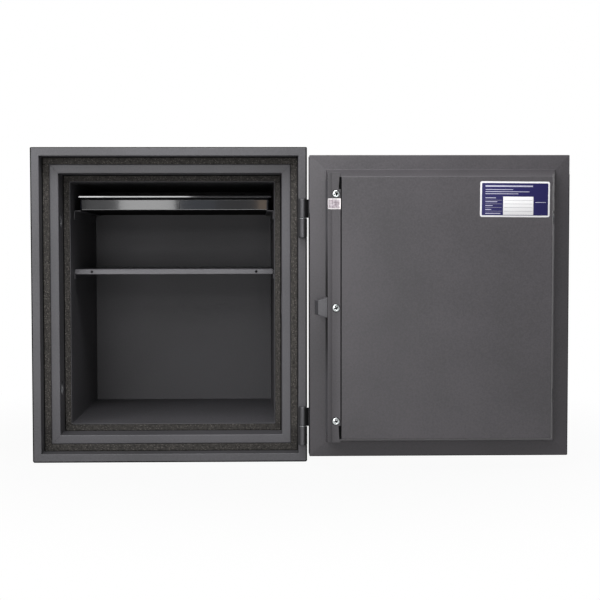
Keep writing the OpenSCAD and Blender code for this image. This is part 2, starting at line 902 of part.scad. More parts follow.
outer_casing();
back_panel();
filler_plugs();
front_frame();
outer_thermal_break();
middle_frame();
inner_thermal_break();
body_insulation();
inner_liner();
bolt_socket(mid_z + bolt_reach);  // upper_bolt_socket
bolt_socket(mid_z - bolt_reach);  // lower_bolt_socket
dog_pocket();
ledge(-1, shelf_z - shelf_t - fit);  // shelf_ledge_left
ledge(1, shelf_z - shelf_t - fit);  // shelf_ledge_right
ledge(-1, tray_z - tray_h - fit);  // tray_runner_left
ledge(1, tray_z - tray_h - fit);  // tray_runner_right
body_knuckle(upper_hinge_z);  // upper_body_knuckle
body_knuckle(lower_hinge_z);  // lower_body_knuckle
hinge_pin(upper_hinge_z);  // upper_hinge_pin
hinge_pin(lower_hinge_z);  // lower_hinge_pin
hinge_washers();
shelf();
tray();
door_skin();
door_inner_pan();
door_insulation();
boltwork_case();
hinge_side_strip();
strip_screws();
hinge_side_dog();
hinge_side_seal();
foil_seal();
rating_plate();
door_knuckle(upper_hinge_z);  // upper_door_knuckle
door_knuckle(lower_hinge_z);  // lower_door_knuckle
bolt_guide(mid_z + bolt_reach);  // upper_bolt_guide
bolt_guide(mid_z - bolt_reach);  // lower_bolt_guide
spindle_bush();
handle_rose();
lock_case();
keyhole_escutcheon();
cover_rivet();
bolt(mid_z + bolt_reach);  // upper_bolt
bolt(mid_z - bolt_reach);  // lower_bolt
bolt_bar();
drive_plate();
drive_plate_screws();
handle_lever();
handle_spindle();
cam_arm();
cam_pin();
lock_core();
core_tail();
keyhole_cover();
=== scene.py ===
# %% [markdown]
# # A fire-resistant document safe with its door swung open
#
# The safe is a steel cabinet inside a steel cabinet, with a mineral fill cast between them.
# The door's frame steps inwards twice, and at each step a band of fire-resistant compound keeps
# the outer steel from touching the inner. The door carries a thick plug that fills those steps.
#
# The engineering model already holds every part at its true size. This lesson gives each one
# its finish, and rebuilds the visible ones as surfaces with bends, welds, grain and print.

# %% The frame that everything is built around
import json
import math

import bmesh
import bpy
import numpy as np
from mathutils import Euler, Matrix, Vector


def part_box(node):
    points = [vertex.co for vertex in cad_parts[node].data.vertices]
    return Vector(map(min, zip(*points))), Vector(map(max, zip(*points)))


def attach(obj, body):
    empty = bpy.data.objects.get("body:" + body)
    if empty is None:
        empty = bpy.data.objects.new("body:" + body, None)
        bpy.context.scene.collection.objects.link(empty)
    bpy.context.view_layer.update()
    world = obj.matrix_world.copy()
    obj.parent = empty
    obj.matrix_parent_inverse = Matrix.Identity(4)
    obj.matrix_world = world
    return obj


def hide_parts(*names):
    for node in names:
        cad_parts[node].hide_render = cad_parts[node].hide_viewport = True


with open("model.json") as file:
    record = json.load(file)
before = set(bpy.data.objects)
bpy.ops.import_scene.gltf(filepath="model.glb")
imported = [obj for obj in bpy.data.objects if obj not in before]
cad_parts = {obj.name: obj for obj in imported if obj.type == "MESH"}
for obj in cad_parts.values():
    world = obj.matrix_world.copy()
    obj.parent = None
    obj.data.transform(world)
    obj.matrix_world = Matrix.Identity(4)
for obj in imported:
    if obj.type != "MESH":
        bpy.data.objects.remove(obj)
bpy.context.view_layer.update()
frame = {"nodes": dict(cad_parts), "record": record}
print("nodes in the frame:", len(frame["nodes"]))

# %% [markdown]
# ## Sizes taken from the frame
#
# A sheet-metal worker would draw the door frame as one section: how far in from the cabinet's
# side, and how deep behind its front. The same two numbers describe every ring in it, so the
# section is read off the boxes of the parts. All of the modelling is in millimetres.

# %% Driving sizes of the cabinet
MM = 0.001


def box_mm(node):
    """The lowest and highest corner of a part, in millimetres."""
    low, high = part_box(node)
    return np.array(low) / MM, np.array(high) / MM


case_low, case_high = box_mm("outer_casing")
FRONT = box_mm("front_frame")[0][1]
BACK = box_mm("back_panel")[1][1]
CABINET = (case_low[0], case_high[0], case_low[2], case_high[2])
SHEET = case_low[1] - FRONT
LINER = 1.2


def step(node):
    """A ring's inset from the cabinet's side, and its front's depth."""
    low, _ = box_mm(node)
    return low[0] - case_low[0], low[1] - FRONT


flange = step("outer_thermal_break")[0] + SHEET
rebate_1 = step("outer_thermal_break")[1]
inset_2, depth_2 = step("middle_frame")
inset_3, depth_3 = (a + b for a, b in zip(step("inner_thermal_break"), (SHEET, 0)))
wall = step("inner_liner")[0] + LINER
mouth = step("inner_liner")[1] + 0.8
cavity_back = box_mm("inner_liner")[1][1] - FRONT - LINER
print(f"flange {flange:.1f}, steps at {inset_2:.1f} and {inset_3:.1f}, wall {wall:.1f} mm")

# %% Driving sizes of the door
skin_low, skin_high = box_mm("door_skin")
pan_low = box_mm("door_inner_pan")[0]
DOOR = (skin_low[0], skin_high[0], skin_low[2], skin_high[2])
DOOR_FACE = skin_high[1]
PAN = 1.2
door_edge = DOOR_FACE - skin_low[1] + PAN
door_t = DOOR_FACE - pan_low[1]
middle_z = (DOOR[2] + DOOR[3]) / 2
print(f"door {DOOR[1] - DOOR[0]:.0f} x {DOOR[3] - DOOR[2]:.0f}, {door_t:.0f} mm thick over its plug")

# %% [markdown]
# ## Camera
#
# The safe is seen from straight in front and a little above, from about two metres, with a
# short telephoto lens. A small sideways shift frames the cabinet and the open door together.

# %% Camera
SENSOR = 36.0
LENS = 71.44
EYE = Vector((0.1308, FRONT * MM - 1.8929, 0.3396))
DOWN, RIGHT, ROLL = (math.radians(a) for a in (2.425, 1.041, 0.105))

camera = bpy.data.objects.new("camera", bpy.data.cameras.new("camera"))
camera.data.sensor_width = SENSOR
camera.data.lens = LENS
camera.data.shift_x = 0.0446
camera.location = EYE
camera.rotation_euler = Euler((math.pi / 2 - DOWN, ROLL, -RIGHT))
bpy.context.scene.collection.objects.link(camera)
bpy.context.scene.camera = camera
print("camera stands", round(-EYE.y, 2), "m in front of the origin")

# %% [markdown]
# ## Four shape makers
#
# Nearly everything here is bent sheet, and a bent sheet is a section carried round a rectangle.
# `bent` turns a polygon into such a section: each corner becomes an arc of its bend radius.
# `ring` carries it round a rectangle with rounded corners. `turned` spins a profile, for what
# comes off a lathe, and `plate` gives a flat outline its thickness, for what is cut from bar.
# Each works on whole arrays, so a hundred thousand points cost no time.

# %% A section with bend radii


def unit(v):
    """Vectors scaled to length one, along the last axis."""
    return v / np.linalg.norm(v, axis=-1, keepdims=True)


def bent(corners, radii, steps=5, closed=True, guard=0.4):
    """A polygon with each corner turned into an arc that touches both of its sides.

    For a corner with half-angle h between its sides, the arc starts radius / tan(h) along each
    side, and its centre lies radius / sin(h) along the bisector. A guard point just beyond each
    end of an arc keeps the flat beside it shading flat. An open section keeps its end points.
    """
    p = np.asarray(corners, float)
    r = np.broadcast_to(np.asarray(radii, float), len(p))[:, None]
    before, after = np.roll(p, 1, 0) - p, np.roll(p, -1, 0) - p
    a, b = unit(before), unit(after)
    half = np.arccos(np.clip((a * b).sum(-1, keepdims=True), -1, 1)) / 2
    reach = r / np.tan(half)
    centre = p + unit(a + b) * r / np.sin(half)
    sweep = (np.pi - 2 * half)[:, None]
    t = np.linspace(0, 1, steps + 1)[None, :, None]
    first, last = (p + a * reach - centre)[:, None], (p + b * reach - centre)[:, None]
    arcs = centre[:, None] + (np.sin((1 - t) * sweep) * first
                              + np.sin(t * sweep) * last) / np.sin(sweep)
    room = np.linalg.norm(after, axis=-1, keepdims=True) - reach - np.roll(reach, -1, 0)
    beyond = np.minimum(guard, room / 3)
    ahead = p + b * (reach + beyond)
    behind = p + a * (reach + np.roll(beyond, 1, 0))
    whole = np.concatenate([behind[:, None], arcs, ahead[:, None]], 1)
    if closed:
        return whole.reshape(-1, 2)
    return np.concatenate([p[:1], whole[1:-1].reshape(-1, 2), p[-1:]])


# %% A section carried round a rectangle
CAP = 60.0  # an open section starts this far in, and one flat face closes the rest


def ring(rect, insets, depths, radii, place, arc_steps=6, along=(0.004, 0.996)):
    """Rounded rectangles, one for each point of a section, as a grid of points.

    rect is (left, right, bottom, top). insets and depths hold one value a row, or four: for the
    right, top, left and bottom side. radii are the corner radii, likewise for the top right,
    top left, bottom left and bottom right. along says where points lie on the straight sides,
    from 0 to 1. place(p, q, depth) puts the points into space.
    """
    left, right, bottom, top = rect
    inset, depth, radius = (
        np.broadcast_to(np.reshape(np.asarray(v, float), (len(v), -1)), (len(v), 4))
        for v in (insets, depths, radii))
    turn = np.linspace(0, 1, arc_steps + 1)
    angle = (np.arange(4)[:, None] + turn) * np.pi / 2
    in_r, in_t, in_l, in_b = inset.T
    r = radius.T
    centre_p = np.stack([right - in_r - r[0], left + in_l + r[1],
                         left + in_l + r[2], right - in_r - r[3]], 1)
    centre_q = np.stack([top - in_t - r[0], top - in_t - r[1],
                         bottom + in_b + r[2], bottom + in_b + r[3]], 1)
    p = centre_p[..., None] + radius[..., None] * np.cos(angle)
    q = centre_q[..., None] + radius[..., None] * np.sin(angle)
    d = depth[..., None] * (1 - turn) + np.roll(depth, -1, 1)[..., None] * turn
    s = np.asarray(along, float)
    whole = [np.concatenate([v, v[..., -1:] * (1 - s) + np.roll(v[..., :1], -1, 1) * s], -1)
             .reshape(len(inset), -1) for v in (p, q, d)]
    return place(*whole)


# %% Where a ring stands: on the cabinet, on the open door, or lying flat


def on_cabinet(p, q, depth):
    """p is X, q is Z, and depth runs backwards from the cabinet's front."""
    return np.stack([p, FRONT + depth, q], -1)


def on_door(p, q, depth):
    """p is X, q is Z, and depth runs from the door's outer face towards its plug."""
    return np.stack([p, DOOR_FACE - depth, q], -1)


def lying(p, q, height):
    """p is X, q is Y, and height is Z."""
    return np.stack([p, q, height], -1)


def along_x(p, q, level):
    """p is Y, q is Z, and level runs along X."""
    return np.stack([level, p, q], -1)


def along_y(p, q, level):
    """p is X, q is Z, and level runs along Y."""
    return np.stack([p, level, q], -1)


# %% A profile spun round an axis


def turned(profile, centre, axis="y", steps=48):
    """Points at radius and height (the rows of profile) spun round an axis through centre.

    Each point moves on a circle: radius times the cosine and sine of the angle, and height
    along the axis.
    """
    radius, height = np.asarray(profile, float).T[..., None]
    angle = np.linspace(0, 2 * np.pi, steps, endpoint=False)
    a, b = radius * np.cos(angle), radius * np.sin(angle)
    h = height + 0 * angle
    order = {"x": (h, a, b), "y": (a, h, b), "z": (a, b, h)}[axis]
    return np.stack(order, -1) + np.asarray(centre, float)


# %% A flat outline given thickness, with rounded edges


def plate(outline, start, end, edge, place, steps=3):
    """Copies of a closed outline stacked from start to end, drawn in at both ends.

    The outline shrinks along its own normals by edge times one minus the sine of an angle,
    while its height moves by edge times one minus the cosine, so the rim is a quarter round.
    """
    o = np.asarray(outline, float)
    tangent = unit(np.roll(o, -1, 0) - np.roll(o, 1, 0))
    normal = np.stack([tangent[:, 1], -tangent[:, 0]], -1)
    area = (o[:, 0] * np.roll(o[:, 1], -1) - o[:, 1] * np.roll(o[:, 0], -1)).sum()
    normal *= np.sign(area)
    a = np.linspace(0, np.pi / 2, steps + 1)
    shrink, rise = edge * (1 - np.sin(a)), edge * (1 - np.cos(a))
    way = np.sign(end - start)
    shrink = np.concatenate([shrink, shrink[::-1]])
    level = np.concatenate([start + way * rise, end - way * rise[::-1]])
    points = o[None] - shrink[:, None, None] * normal
    return place(points[..., 0], points[..., 1], level[:, None] + 0 * points[..., 0])


# %% [markdown]
# ## From grids to pieces
#
# A grid becomes faces by joining each point with its neighbours. The seam where a ring meets
# itself is closed by wrapping the grid round, and poles are closed by merging the points that
# fall together. The last step turns every face outwards and marks the creases sharper than
# about 40 degrees, so that bends shade round and cut edges stay crisp.

# %% Grid to faces


def skin(grid, round_rows=False, round_columns=True, caps=False):
    """The points and the faces of a grid, closed round its rows or its columns if asked."""
    rows, columns = grid.shape[:2]
    index = np.arange(rows * columns).reshape(rows, columns)
    wrapped = np.vstack([index, index[:1]]) if round_rows else index
    wrapped = np.hstack([wrapped, wrapped[:, :1]]) if round_columns else wrapped
    quads = np.stack([wrapped[:-1, :-1], wrapped[:-1, 1:],
                      wrapped[1:, 1:], wrapped[1:, :-1]], -1).reshape(-1, 4).tolist()
    ends = [index[0].tolist(), index[-1].tolist()] if caps else []
    return grid.reshape(-1, 3), quads + ends


def build(name, shells):
    """One mesh from several closed shells: doubles merged and faces turned outwards."""
    points, faces, count = [], [], 0
    for p, f in shells:
        points.append(p)
        faces += [[i + count for i in face] for face in f]
        count += len(p)
    mesh = bpy.data.meshes.new(name)
    mesh.from_pydata(np.concatenate(points) * MM, [], faces)
    bm = bmesh.new()
    bm.from_mesh(mesh)
    bmesh.ops.remove_doubles(bm, verts=bm.verts, dist=1e-6)
    bmesh.ops.recalc_face_normals(bm, faces=bm.faces)
    bm.to_mesh(mesh)
    bm.free()
    return mesh


# %% Mesh to piece


def crease(mesh, degrees=40):
    """Smooth shading, broken at edges sharper than an angle."""
    mesh.shade_smooth()
    mesh.set_sharp_from_angle(angle=math.radians(degrees))


def piece(name, shells, material, body, replaces=()):
    """An object made of closed shells that rides on a body and stands for CAD nodes."""
    mesh = build(name, shells)
    crease(mesh)
    obj = bpy.data.objects.new(name, mesh)
    bpy.context.scene.collection.objects.link(obj)
    obj.data.materials.append(material)
    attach(obj, body)
    if replaces:
        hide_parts(*replaces)
    print(f"{name}: {len(mesh.polygons)} faces")
    return obj


# %% [markdown]
# ### Painted tone and holes
#
# Two things can still happen to a piece. Its points can carry an amount, which its material
# reads to paint shade in near-black, or on the foil a brighter silver, just there. And a hole is
# punched with a boolean, because a drilled hole has a crisp rim that a grid can't give.

# %% Painted tone and holes


def tone_amount(obj, amount):
    """Stores an amount from 0 to 1 at each point, as a function of place in mm."""
    mesh = obj.data
    place = np.empty(len(mesh.vertices) * 3)
    mesh.vertices.foreach_get("co", place)
    x, y, z = place.reshape(-1, 3).T / MM
    layer = mesh.attributes.new("tone_amount", "FLOAT", "POINT")
    layer.data.foreach_set("value", np.clip(amount(x, y, z), 0, 1).astype(np.float32))


def near(distance, width):
    """1 on an edge, falling to 0 over a width, as a smooth bell of the distance."""
    return np.exp(-(distance / width) ** 2)


def cut(obj, shells):
    """Takes closed shells out of a piece, as a punch or a drill does, and keeps the result."""
    tool = bpy.data.objects.new("tool", build("tool", shells))
    bpy.context.scene.collection.objects.link(tool)
    punch = obj.modifiers.new("punch", "BOOLEAN")
    punch.operation = "DIFFERENCE"
    punch.solver = "EXACT"
    punch.object = tool
    graph = bpy.context.evaluated_depsgraph_get()
    mesh = bpy.data.meshes.new_from_object(obj.evaluated_get(graph))
    obj.modifiers.remove(punch)
    obj.data = mesh
    crease(mesh)
    bpy.data.objects.remove(tool)
    print(f"{obj.name}: {len(mesh.polygons)} faces after cutting")


def rod(x, z, radius, start, end, axis="y", steps=48):
    """A plain cylinder to cut with; x and z are its centre across the axis."""
    centre = {"y": (x, 0, z), "x": (0, x, z)}[axis]
    profile = [(0, start), (radius, start), (radius, end), (0, end)]
    return skin(turned(profile, centre, axis, steps))


# %% [markdown]
# ## Materials
#
# Each finish starts from what the real one is. One function adds a shader node and wires it,
# so a material reads as a list of what is connected to what. Patterns follow Object
# coordinates, which are metres here, so a pattern's scale is a thousand over its size in
# millimetres. Colours are written as they look on a screen and turned to linear light.

# %% Colour, node and material helpers


def linear(colour):
    """An sRGB hex colour as linear red, green, blue and alpha."""
    s = np.array([int(colour[i:i + 2], 16) for i in (1, 3, 5)]) / 255
    low, high = s / 12.92, ((s + 0.055) / 1.055) ** 2.4
    return (*np.where(s <= 0.04045, low, high).tolist(), 1.0)


def add(tree, kind, inputs=None, **settings):
    """Adds a node, sets it up, and fills or links its input sockets."""
    node = tree.nodes.new(kind)
    for name, value in settings.items():
        setattr(node, name, value)
    for socket, value in (inputs or {}).items():
        if isinstance(value, bpy.types.NodeSocket):
            tree.links.new(value, node.inputs[socket])
        else:
            node.inputs[socket].default_value = value
    return node


def finish_named(name, **sockets):
    """A new material: its node tree, its Principled shader, and its Object coordinates."""
    material = bpy.data.materials.new(name)
    material.use_nodes = True
    tree = material.node_tree
    shader = tree.nodes["Principled BSDF"]
    for socket, value in sockets.items():
        shader.inputs[socket.replace("_", " ")].default_value = value
    place = add(tree, "ShaderNodeTexCoord").outputs["Object"]
    return material, tree, shader, place


def size(millimetres):
    """A noise texture's scale for features of this size."""
    return 1000 / millimetres


# %% [markdown]
# ### Powder coat
#
# The steel is sprayed with dry polyester powder and baked, which leaves a fine leathery
# texture. To the eye it is a satin grey with soft, broken highlights: two noises do that, one
# two or three millimetres across for the texture and one of several centimetres, because the
# film's thickness and so its shade drift a little over a panel. The amount stored at the points
# blends the coat towards near-black: that is painted shade, in rebates, beside the hinge barrels,
# on the door's flanges and beside the wedge. With none stored the coat is full.

# %% Powder coat
# PAINTED_SHADE is the near-black that painted shade blends the coat towards.
PAINTED_SHADE = "#020202"
SWING = 0.08  # how far the gloss strays to either side


def powder_coat(name, dark, light, roughness=0.46, texture=2.6, depth=0.08):
    """Baked polyester powder: colour drifts between dark and light, with a leathery bump."""
    material, tree, shader, place = finish_named(name, Roughness=roughness)
    drift = add(tree, "ShaderNodeTexNoise",
                {"Vector": place, "Scale": size(160), "Detail": 2.0, "Roughness": 0.5})
    leather = add(tree, "ShaderNodeTexNoise",
                  {"Vector": place, "Scale": size(texture), "Detail": 3.0, "Roughness": 0.6})
    shade = add(tree, "ShaderNodeMath", {0: drift.outputs["Fac"], 1: leather.outputs["Fac"]},
                operation="ADD")
    spread = add(tree, "ShaderNodeMapRange",
                 {"Value": shade.outputs[0], "From Min": 0.8, "From Max": 1.2})
    coat = add(tree, "ShaderNodeMix", {0: spread.outputs[0], 6: linear(dark), 7: linear(light)},
               data_type="RGBA")
    shade_mask = add(tree, "ShaderNodeAttribute", attribute_name="tone_amount")
    colour = add(tree, "ShaderNodeMix", {0: shade_mask.outputs["Fac"], 6: coat.outputs[2],
                                         7: linear(PAINTED_SHADE)}, data_type="RGBA")
    rough = add(tree, "ShaderNodeMapRange",
                {"Value": leather.outputs["Fac"], "From Min": 0.3, "From Max": 0.7,
                 "To Min": roughness - SWING, "To Max": roughness + SWING})
    dull = add(tree, "ShaderNodeMix", {0: shade_mask.outputs["Fac"], 2: rough.outputs[0], 3: 1.0})
    bump = add(tree, "ShaderNodeBump", {"Height": leather.outputs["Fac"], "Strength": 0.5,
                                        "Distance": depth * MM})
    tree.links.new(colour.outputs[2], shader.inputs["Base Color"])
    tree.links.new(dull.outputs[0], shader.inputs["Roughness"])
    tree.links.new(bump.outputs[0], shader.inputs["Normal"])
    return material


casing_coat = powder_coat("powder_coat_charcoal", "#474649", "#555458")
# The middle frame's coat is a lighter copy of the casing's paint: painted light where the frame lies
# in shade.
lit_frame_coat = powder_coat("powder_coat_frame_lit", "#4e4d51", "#5a595d")
door_coat = powder_coat("powder_coat_charcoal_door", "#464447", "#535054")
liner_coat = powder_coat("powder_coat_liner", "#48474a", "#515054", roughness=0.55)
# The shelf's coat is a lighter copy too: painted light on a lip that lies deep in shade.
lit_shelf_coat = powder_coat("powder_coat_shelf_lit", "#5f5e62", "#6a696d", roughness=0.4)
hinge_coat = powder_coat("powder_coat_hinge", "#48474b", "#545357", roughness=0.3)
print("powder coats:", len(bpy.data.materials))

# %% [markdown]
# ### Fire-resistant compound
#
# The bands between the steel steps are a trowelled compound of vermiculite and binder. Its
# surface is a coarse brown-grey stipple with pale grains three millimetres apart. The stipple
# itself is modelled; the shader adds the grains' colour and a finer roughness. The lowest
# lengths, which face upwards, are painted about a third darker: painted shade.

# %% Fire-resistant compound
compound, tree, shader, place = finish_named("vermiculite_compound", Roughness=0.92)
grains = add(tree, "ShaderNodeTexVoronoi",
             {"Vector": place, "Scale": size(3.2), "Randomness": 1.0}, feature="F1")
crumb = add(tree, "ShaderNodeTexNoise",
            {"Vector": place, "Scale": size(4.2), "Detail": 4.0, "Roughness": 0.75})
tint = add(tree, "ShaderNodeMapRange",
           {"Value": crumb.outputs["Fac"], "From Min": 0.36, "From Max": 0.64})
base = add(tree, "ShaderNodeMix",
           {0: tint.outputs[0], 6: linear("#2a2826"), 7: linear("#4e4b48")}, data_type="RGBA")
pale = add(tree, "ShaderNodeMapRange",
           {"Value": grains.outputs["Distance"], "From Min": 0.2, "From Max": 0.34,
            "To Min": 0.7, "To Max": 0.0})
colour = add(tree, "ShaderNodeMix",
             {0: pale.outputs[0], 6: base.outputs[2], 7: linear("#78736e")}, data_type="RGBA")
# The lowest lengths are painted about a third darker: painted shade.
above_floor = add(tree, "ShaderNodeSeparateXYZ", {0: place}).outputs["Z"]
low_shade = add(tree, "ShaderNodeMapRange",
            {"Value": above_floor, "From Min": 48 * MM, "From Max": 56 * MM,
             "To Min": 0.64, "To Max": 1.0})
shaded_colour = add(tree, "ShaderNodeVectorMath", {0: colour.outputs[2], "Scale": low_shade.outputs[0]},
             operation="SCALE")
bump = add(tree, "ShaderNodeBump", {"Height": crumb.outputs["Fac"], "Strength": 0.9,
                                    "Distance": 0.5 * MM})
tree.links.new(shaded_colour.outputs[0], shader.inputs["Base Color"])
tree.links.new(bump.outputs[0], shader.inputs["Normal"])
print("compound:", len(tree.nodes), "nodes")

# %% [markdown]
# ### Bare and plated metals
#
# Zinc plating is a soft silver with a faint cloudy spangle, chrome plate a clean mirror that
# only fingerprints dull, and turned brass a warm metal with tool marks. Phosphated steel, which
# the bolts are made of, is a dark metal with a fine crystal bloom. One function makes them all:
# a metal differs in its colour, in how rough it is, and in how much that varies.

# %% Metals


def plated(name, colour, shadow, roughness, vary, mottle):
    """A bare or plated metal whose colour and roughness cloud over a mottle in millimetres."""
    material, tree, shader, place = finish_named(name, Metallic=1.0, Roughness=roughness)
    cloud = add(tree, "ShaderNodeTexNoise",
                {"Vector": place, "Scale": size(mottle), "Detail": 4.0, "Roughness": 0.6})
    spread = add(tree, "ShaderNodeMapRange",
                 {"Value": cloud.outputs["Fac"], "From Min": 0.35, "From Max": 0.65})
    tone = add(tree, "ShaderNodeMix",
               {0: spread.outputs[0], 6: linear(shadow), 7: linear(colour)}, data_type="RGBA")
    rough = add(tree, "ShaderNodeMapRange",
                {"Value": cloud.outputs["Fac"], "From Min": 0.3, "From Max": 0.7,
                 "To Min": roughness - vary, "To Max": roughness + vary})
    scratch = add(tree, "ShaderNodeTexNoise",
                  {"Vector": place, "Scale": size(0.4), "Detail": 2.0})
    bump = add(tree, "ShaderNodeBump", {"Height": scratch.outputs["Fac"], "Strength": 0.12,
                                        "Distance": 0.02 * MM})
    tree.links.new(tone.outputs[2], shader.inputs["Base Color"])
    tree.links.new(rough.outputs[0], shader.inputs["Roughness"])
    tree.links.new(bump.outputs[0], shader.inputs["Normal"])
    return material


zinc = plated("zinc_plate_bright", "#d4d8d8", "#b4b9ba", 0.2, 0.05, 3.0)
steel = plated("zinc_plated_steel", "#a9abad", "#8d9093", 0.38, 0.1, 9.0)
bolt_steel = plated("phosphated_steel", "#4e4f52", "#3e3f42", 0.55, 0.08, 6.0)
chrome = plated("chrome_plate", "#e3e4e6", "#d3d5d8", 0.1, 0.05, 14.0)
brass = plated("turned_brass", "#d2ab5c", "#b8914a", 0.26, 0.08, 5.0)
print("finishes so far:", len(bpy.data.materials))

# %% [markdown]
# ### Tray, seal, fill and small plastics
#
# The tray is injection-moulded smoke-grey plastic with a polished surface, so it shows the
# lights as sharp streaks. The cast fill is a chalky mineral. None of them needs more than a
# colour, a gloss and a faint unevenness. The fire seal is a dull grey strip that uses the
# powder coat's function, because its painted shade too turns it black by the amount at its points.

# %% Moulded, extruded and cast materials


def moulded(name, dark, light, roughness, grain, relief, **sockets):
    """A dielectric finish with a colour cloud and an uneven surface of one grain size."""
    material, tree, shader, place = finish_named(name, Roughness=roughness, **sockets)
    cloud = add(tree, "ShaderNodeTexNoise",
                {"Vector": place, "Scale": size(grain), "Detail": 3.0, "Roughness": 0.6})
    tone = add(tree, "ShaderNodeMix",
               {0: cloud.outputs["Fac"], 6: linear(dark), 7: linear(light)}, data_type="RGBA")
    bump = add(tree, "ShaderNodeBump", {"Height": cloud.outputs["Fac"], "Strength": 0.4,
                                        "Distance": relief * MM})
    tree.links.new(tone.outputs[2], shader.inputs["Base Color"])
    tree.links.new(bump.outputs[0], shader.inputs["Normal"])
    return material


smoke_plastic = moulded("polished_smoke_styrene", "#15161b", "#1c1d24", 0.07, 60, 0.05,
                        IOR=1.59, Coat_Weight=0.5, Coat_Roughness=0.03)
seal_rubber = powder_coat("intumescent_strip", "#4c4b4f", "#545357", 0.8, 2.0, 0.1)
cast_fill = moulded("cast_perlite_gypsum", "#a8a294", "#c9c4b8", 0.95, 4.0, 0.4)
# A near-black with little gloss, for the pieces that paint shade: lines, rings, plugs and sheets
# where only shade falls.
shade_black = moulded("painted_shade_black", "#080809", "#0e0e0f", 0.9, 3.0, 0.1,
                       Specular_IOR_Level=0.1)
black_plastic = moulded("moulded_polypropylene_black", "#1b1b1c", "#262627", 0.5, 1.0, 0.05)
label_white = moulded("vinyl_label_white", "#fdfcff", "#ffffff", 0.3, 30, 0.01)
label_navy = moulded("printed_ink_navy", "#232058", "#2a2760", 0.6, 12, 0.01,
                     Specular_IOR_Level=0.3)
label_pale = moulded("printed_ink_pale_blue", "#c6c5dd", "#d6d5e8", 0.5, 12, 0.01)
label_grey = moulded("printed_ink_grey", "#a9a7ae", "#b5b3ba", 0.4, 12, 0.01)
print("finishes so far:", len(bpy.data.materials))

# %% [markdown]
# ### Embossed foil
#
# The seal across the cover strip is a metallised foil with a pressed pattern. It throws back
# the light in patches of pink and silver, as thin foils do. The relief is in the mesh, and the
# shader varies the tint slowly over a few millimetres. The raised border is a brighter silver,
# by the amount that its points carry.

# %% Embossed foil
foil, tree, shader, place = finish_named("embossed_metallised_foil", Metallic=0.85,
                                         Roughness=0.3)
patch = add(tree, "ShaderNodeTexNoise",
            {"Vector": place, "Scale": size(4), "Detail": 2.0, "Roughness": 0.5})
hue = add(tree, "ShaderNodeMapRange",
          {"Value": patch.outputs["Fac"], "From Min": 0.35, "From Max": 0.65})
colour = add(tree, "ShaderNodeMix",
             {0: hue.outputs[0], 6: linear("#847980"), 7: linear("#bab2b7")}, data_type="RGBA")
raised = add(tree, "ShaderNodeAttribute", attribute_name="tone_amount")
silver = add(tree, "ShaderNodeMix",
             {0: raised.outputs["Fac"], 6: colour.outputs[2], 7: linear("#e6e1e2")},
             data_type="RGBA")
tree.links.new(silver.outputs[2], shader.inputs["Base Color"])
print("foil:", len(tree.nodes), "nodes")

# %% [markdown]
# ## The cabinet's outer shell
#
# On the real safe one sheet wraps the sides and is folded twice at the front: once into the
# flange that the door's edge closes against, and once more backwards into the first rebate.
# The whole fold is one section, so the shell is a single ring. Its upper corners are nearly
# square and the lower ones rounder, as the wrap's seam is at the top. The rebate's wall is
# darkened towards near-black: painted shade in the recess.

# %% Outer shell
UPPER_CORNER, LOWER_CORNER = 1.8, 3.2


def corner_radii(insets, least=0.5):
    """Corner radii that shrink as a ring steps inwards, down to a least radius."""
    outer = np.array([UPPER_CORNER, UPPER_CORNER, LOWER_CORNER, LOWER_CORNER])
    return np.maximum(outer - np.reshape(insets, (-1, 1)), least)


back_seam = BACK - FRONT - SHEET
shell_section = bent(
    [(0, back_seam), (0, 0), (flange, 0), (flange, rebate_1), (flange - SHEET, rebate_1),
     (flange - SHEET, SHEET), (SHEET, SHEET), (SHEET, back_seam)],
    [0.2, 2.4, 1.1, 0.3, 0.3, 0.4, 0.5, 0.2])
shell = ring(CABINET, shell_section[:, 0], shell_section[:, 1],
             corner_radii(shell_section[:, 0]), on_cabinet)
case = piece("cabinet_shell", [skin(shell, round_rows=True)], casing_coat, "cabinet",
             ["outer_casing", "front_frame"])


def recess(inset, depth, amount):
    """Painted shade on a rebate's wall: about as far in as inset, and deeper than depth."""
    slack = 1.2

    def rebate_shade(x, y, z):
        from_side = np.minimum(CABINET[1] - np.abs(x), np.minimum(z, CABINET[3] - z))
        return amount * (y > FRONT + depth) * (from_side > inset - slack)
    return rebate_shade


# Painted shade on the wall of the first rebate.
tone_amount(case, recess(flange, 1.0, 0.3))

# %% [markdown]
# ### The painted edge shade
#
# A fine black crescent lies over the bend round the front, so that the bend shows as a dark
# line: that dark line is painted shade. The crescent lies between two arcs of nearly the same
# radius, and how far it reaches round the bend differs from side to side, furthest on the right.

# %% Painted edge shade
FRONT_BEND = 2.4
REACHES = (86, 68, 80, 84)  # degrees round the bend: right, top, left and bottom


def crescent(reach):
    """Insets and depths of a crescent over the bend, from 10 degrees to the reach."""
    a = np.radians(np.linspace(10, reach, 8))
    over, under = FRONT_BEND + 0.04 * np.sin(2 * a), FRONT_BEND - 0.05 + 0 * a
    radius, a = np.append(over, under[::-1]), np.append(a, a[::-1])
    return np.column_stack([FRONT_BEND - radius * np.cos(a), FRONT_BEND - radius * np.sin(a)])


edge_shade = np.stack([crescent(reach) for reach in REACHES], 1)
line = ring(CABINET, edge_shade[..., 0], edge_shade[..., 1], corner_radii(edge_shade[:, 0, 0]), on_cabinet)
piece("edge_shade_line", [skin(line, round_rows=True)], shade_black, "cabinet")

# %% [markdown]
# ## The back
#
# The back is a separate sheet that closes the fill in. A pressed bead stiffens it, and a row
# of spot welds follows its edge. Two flanged plugs close the holes that the fill is poured
# through. The sheet is a ring that ends in a flat cap at both ends.

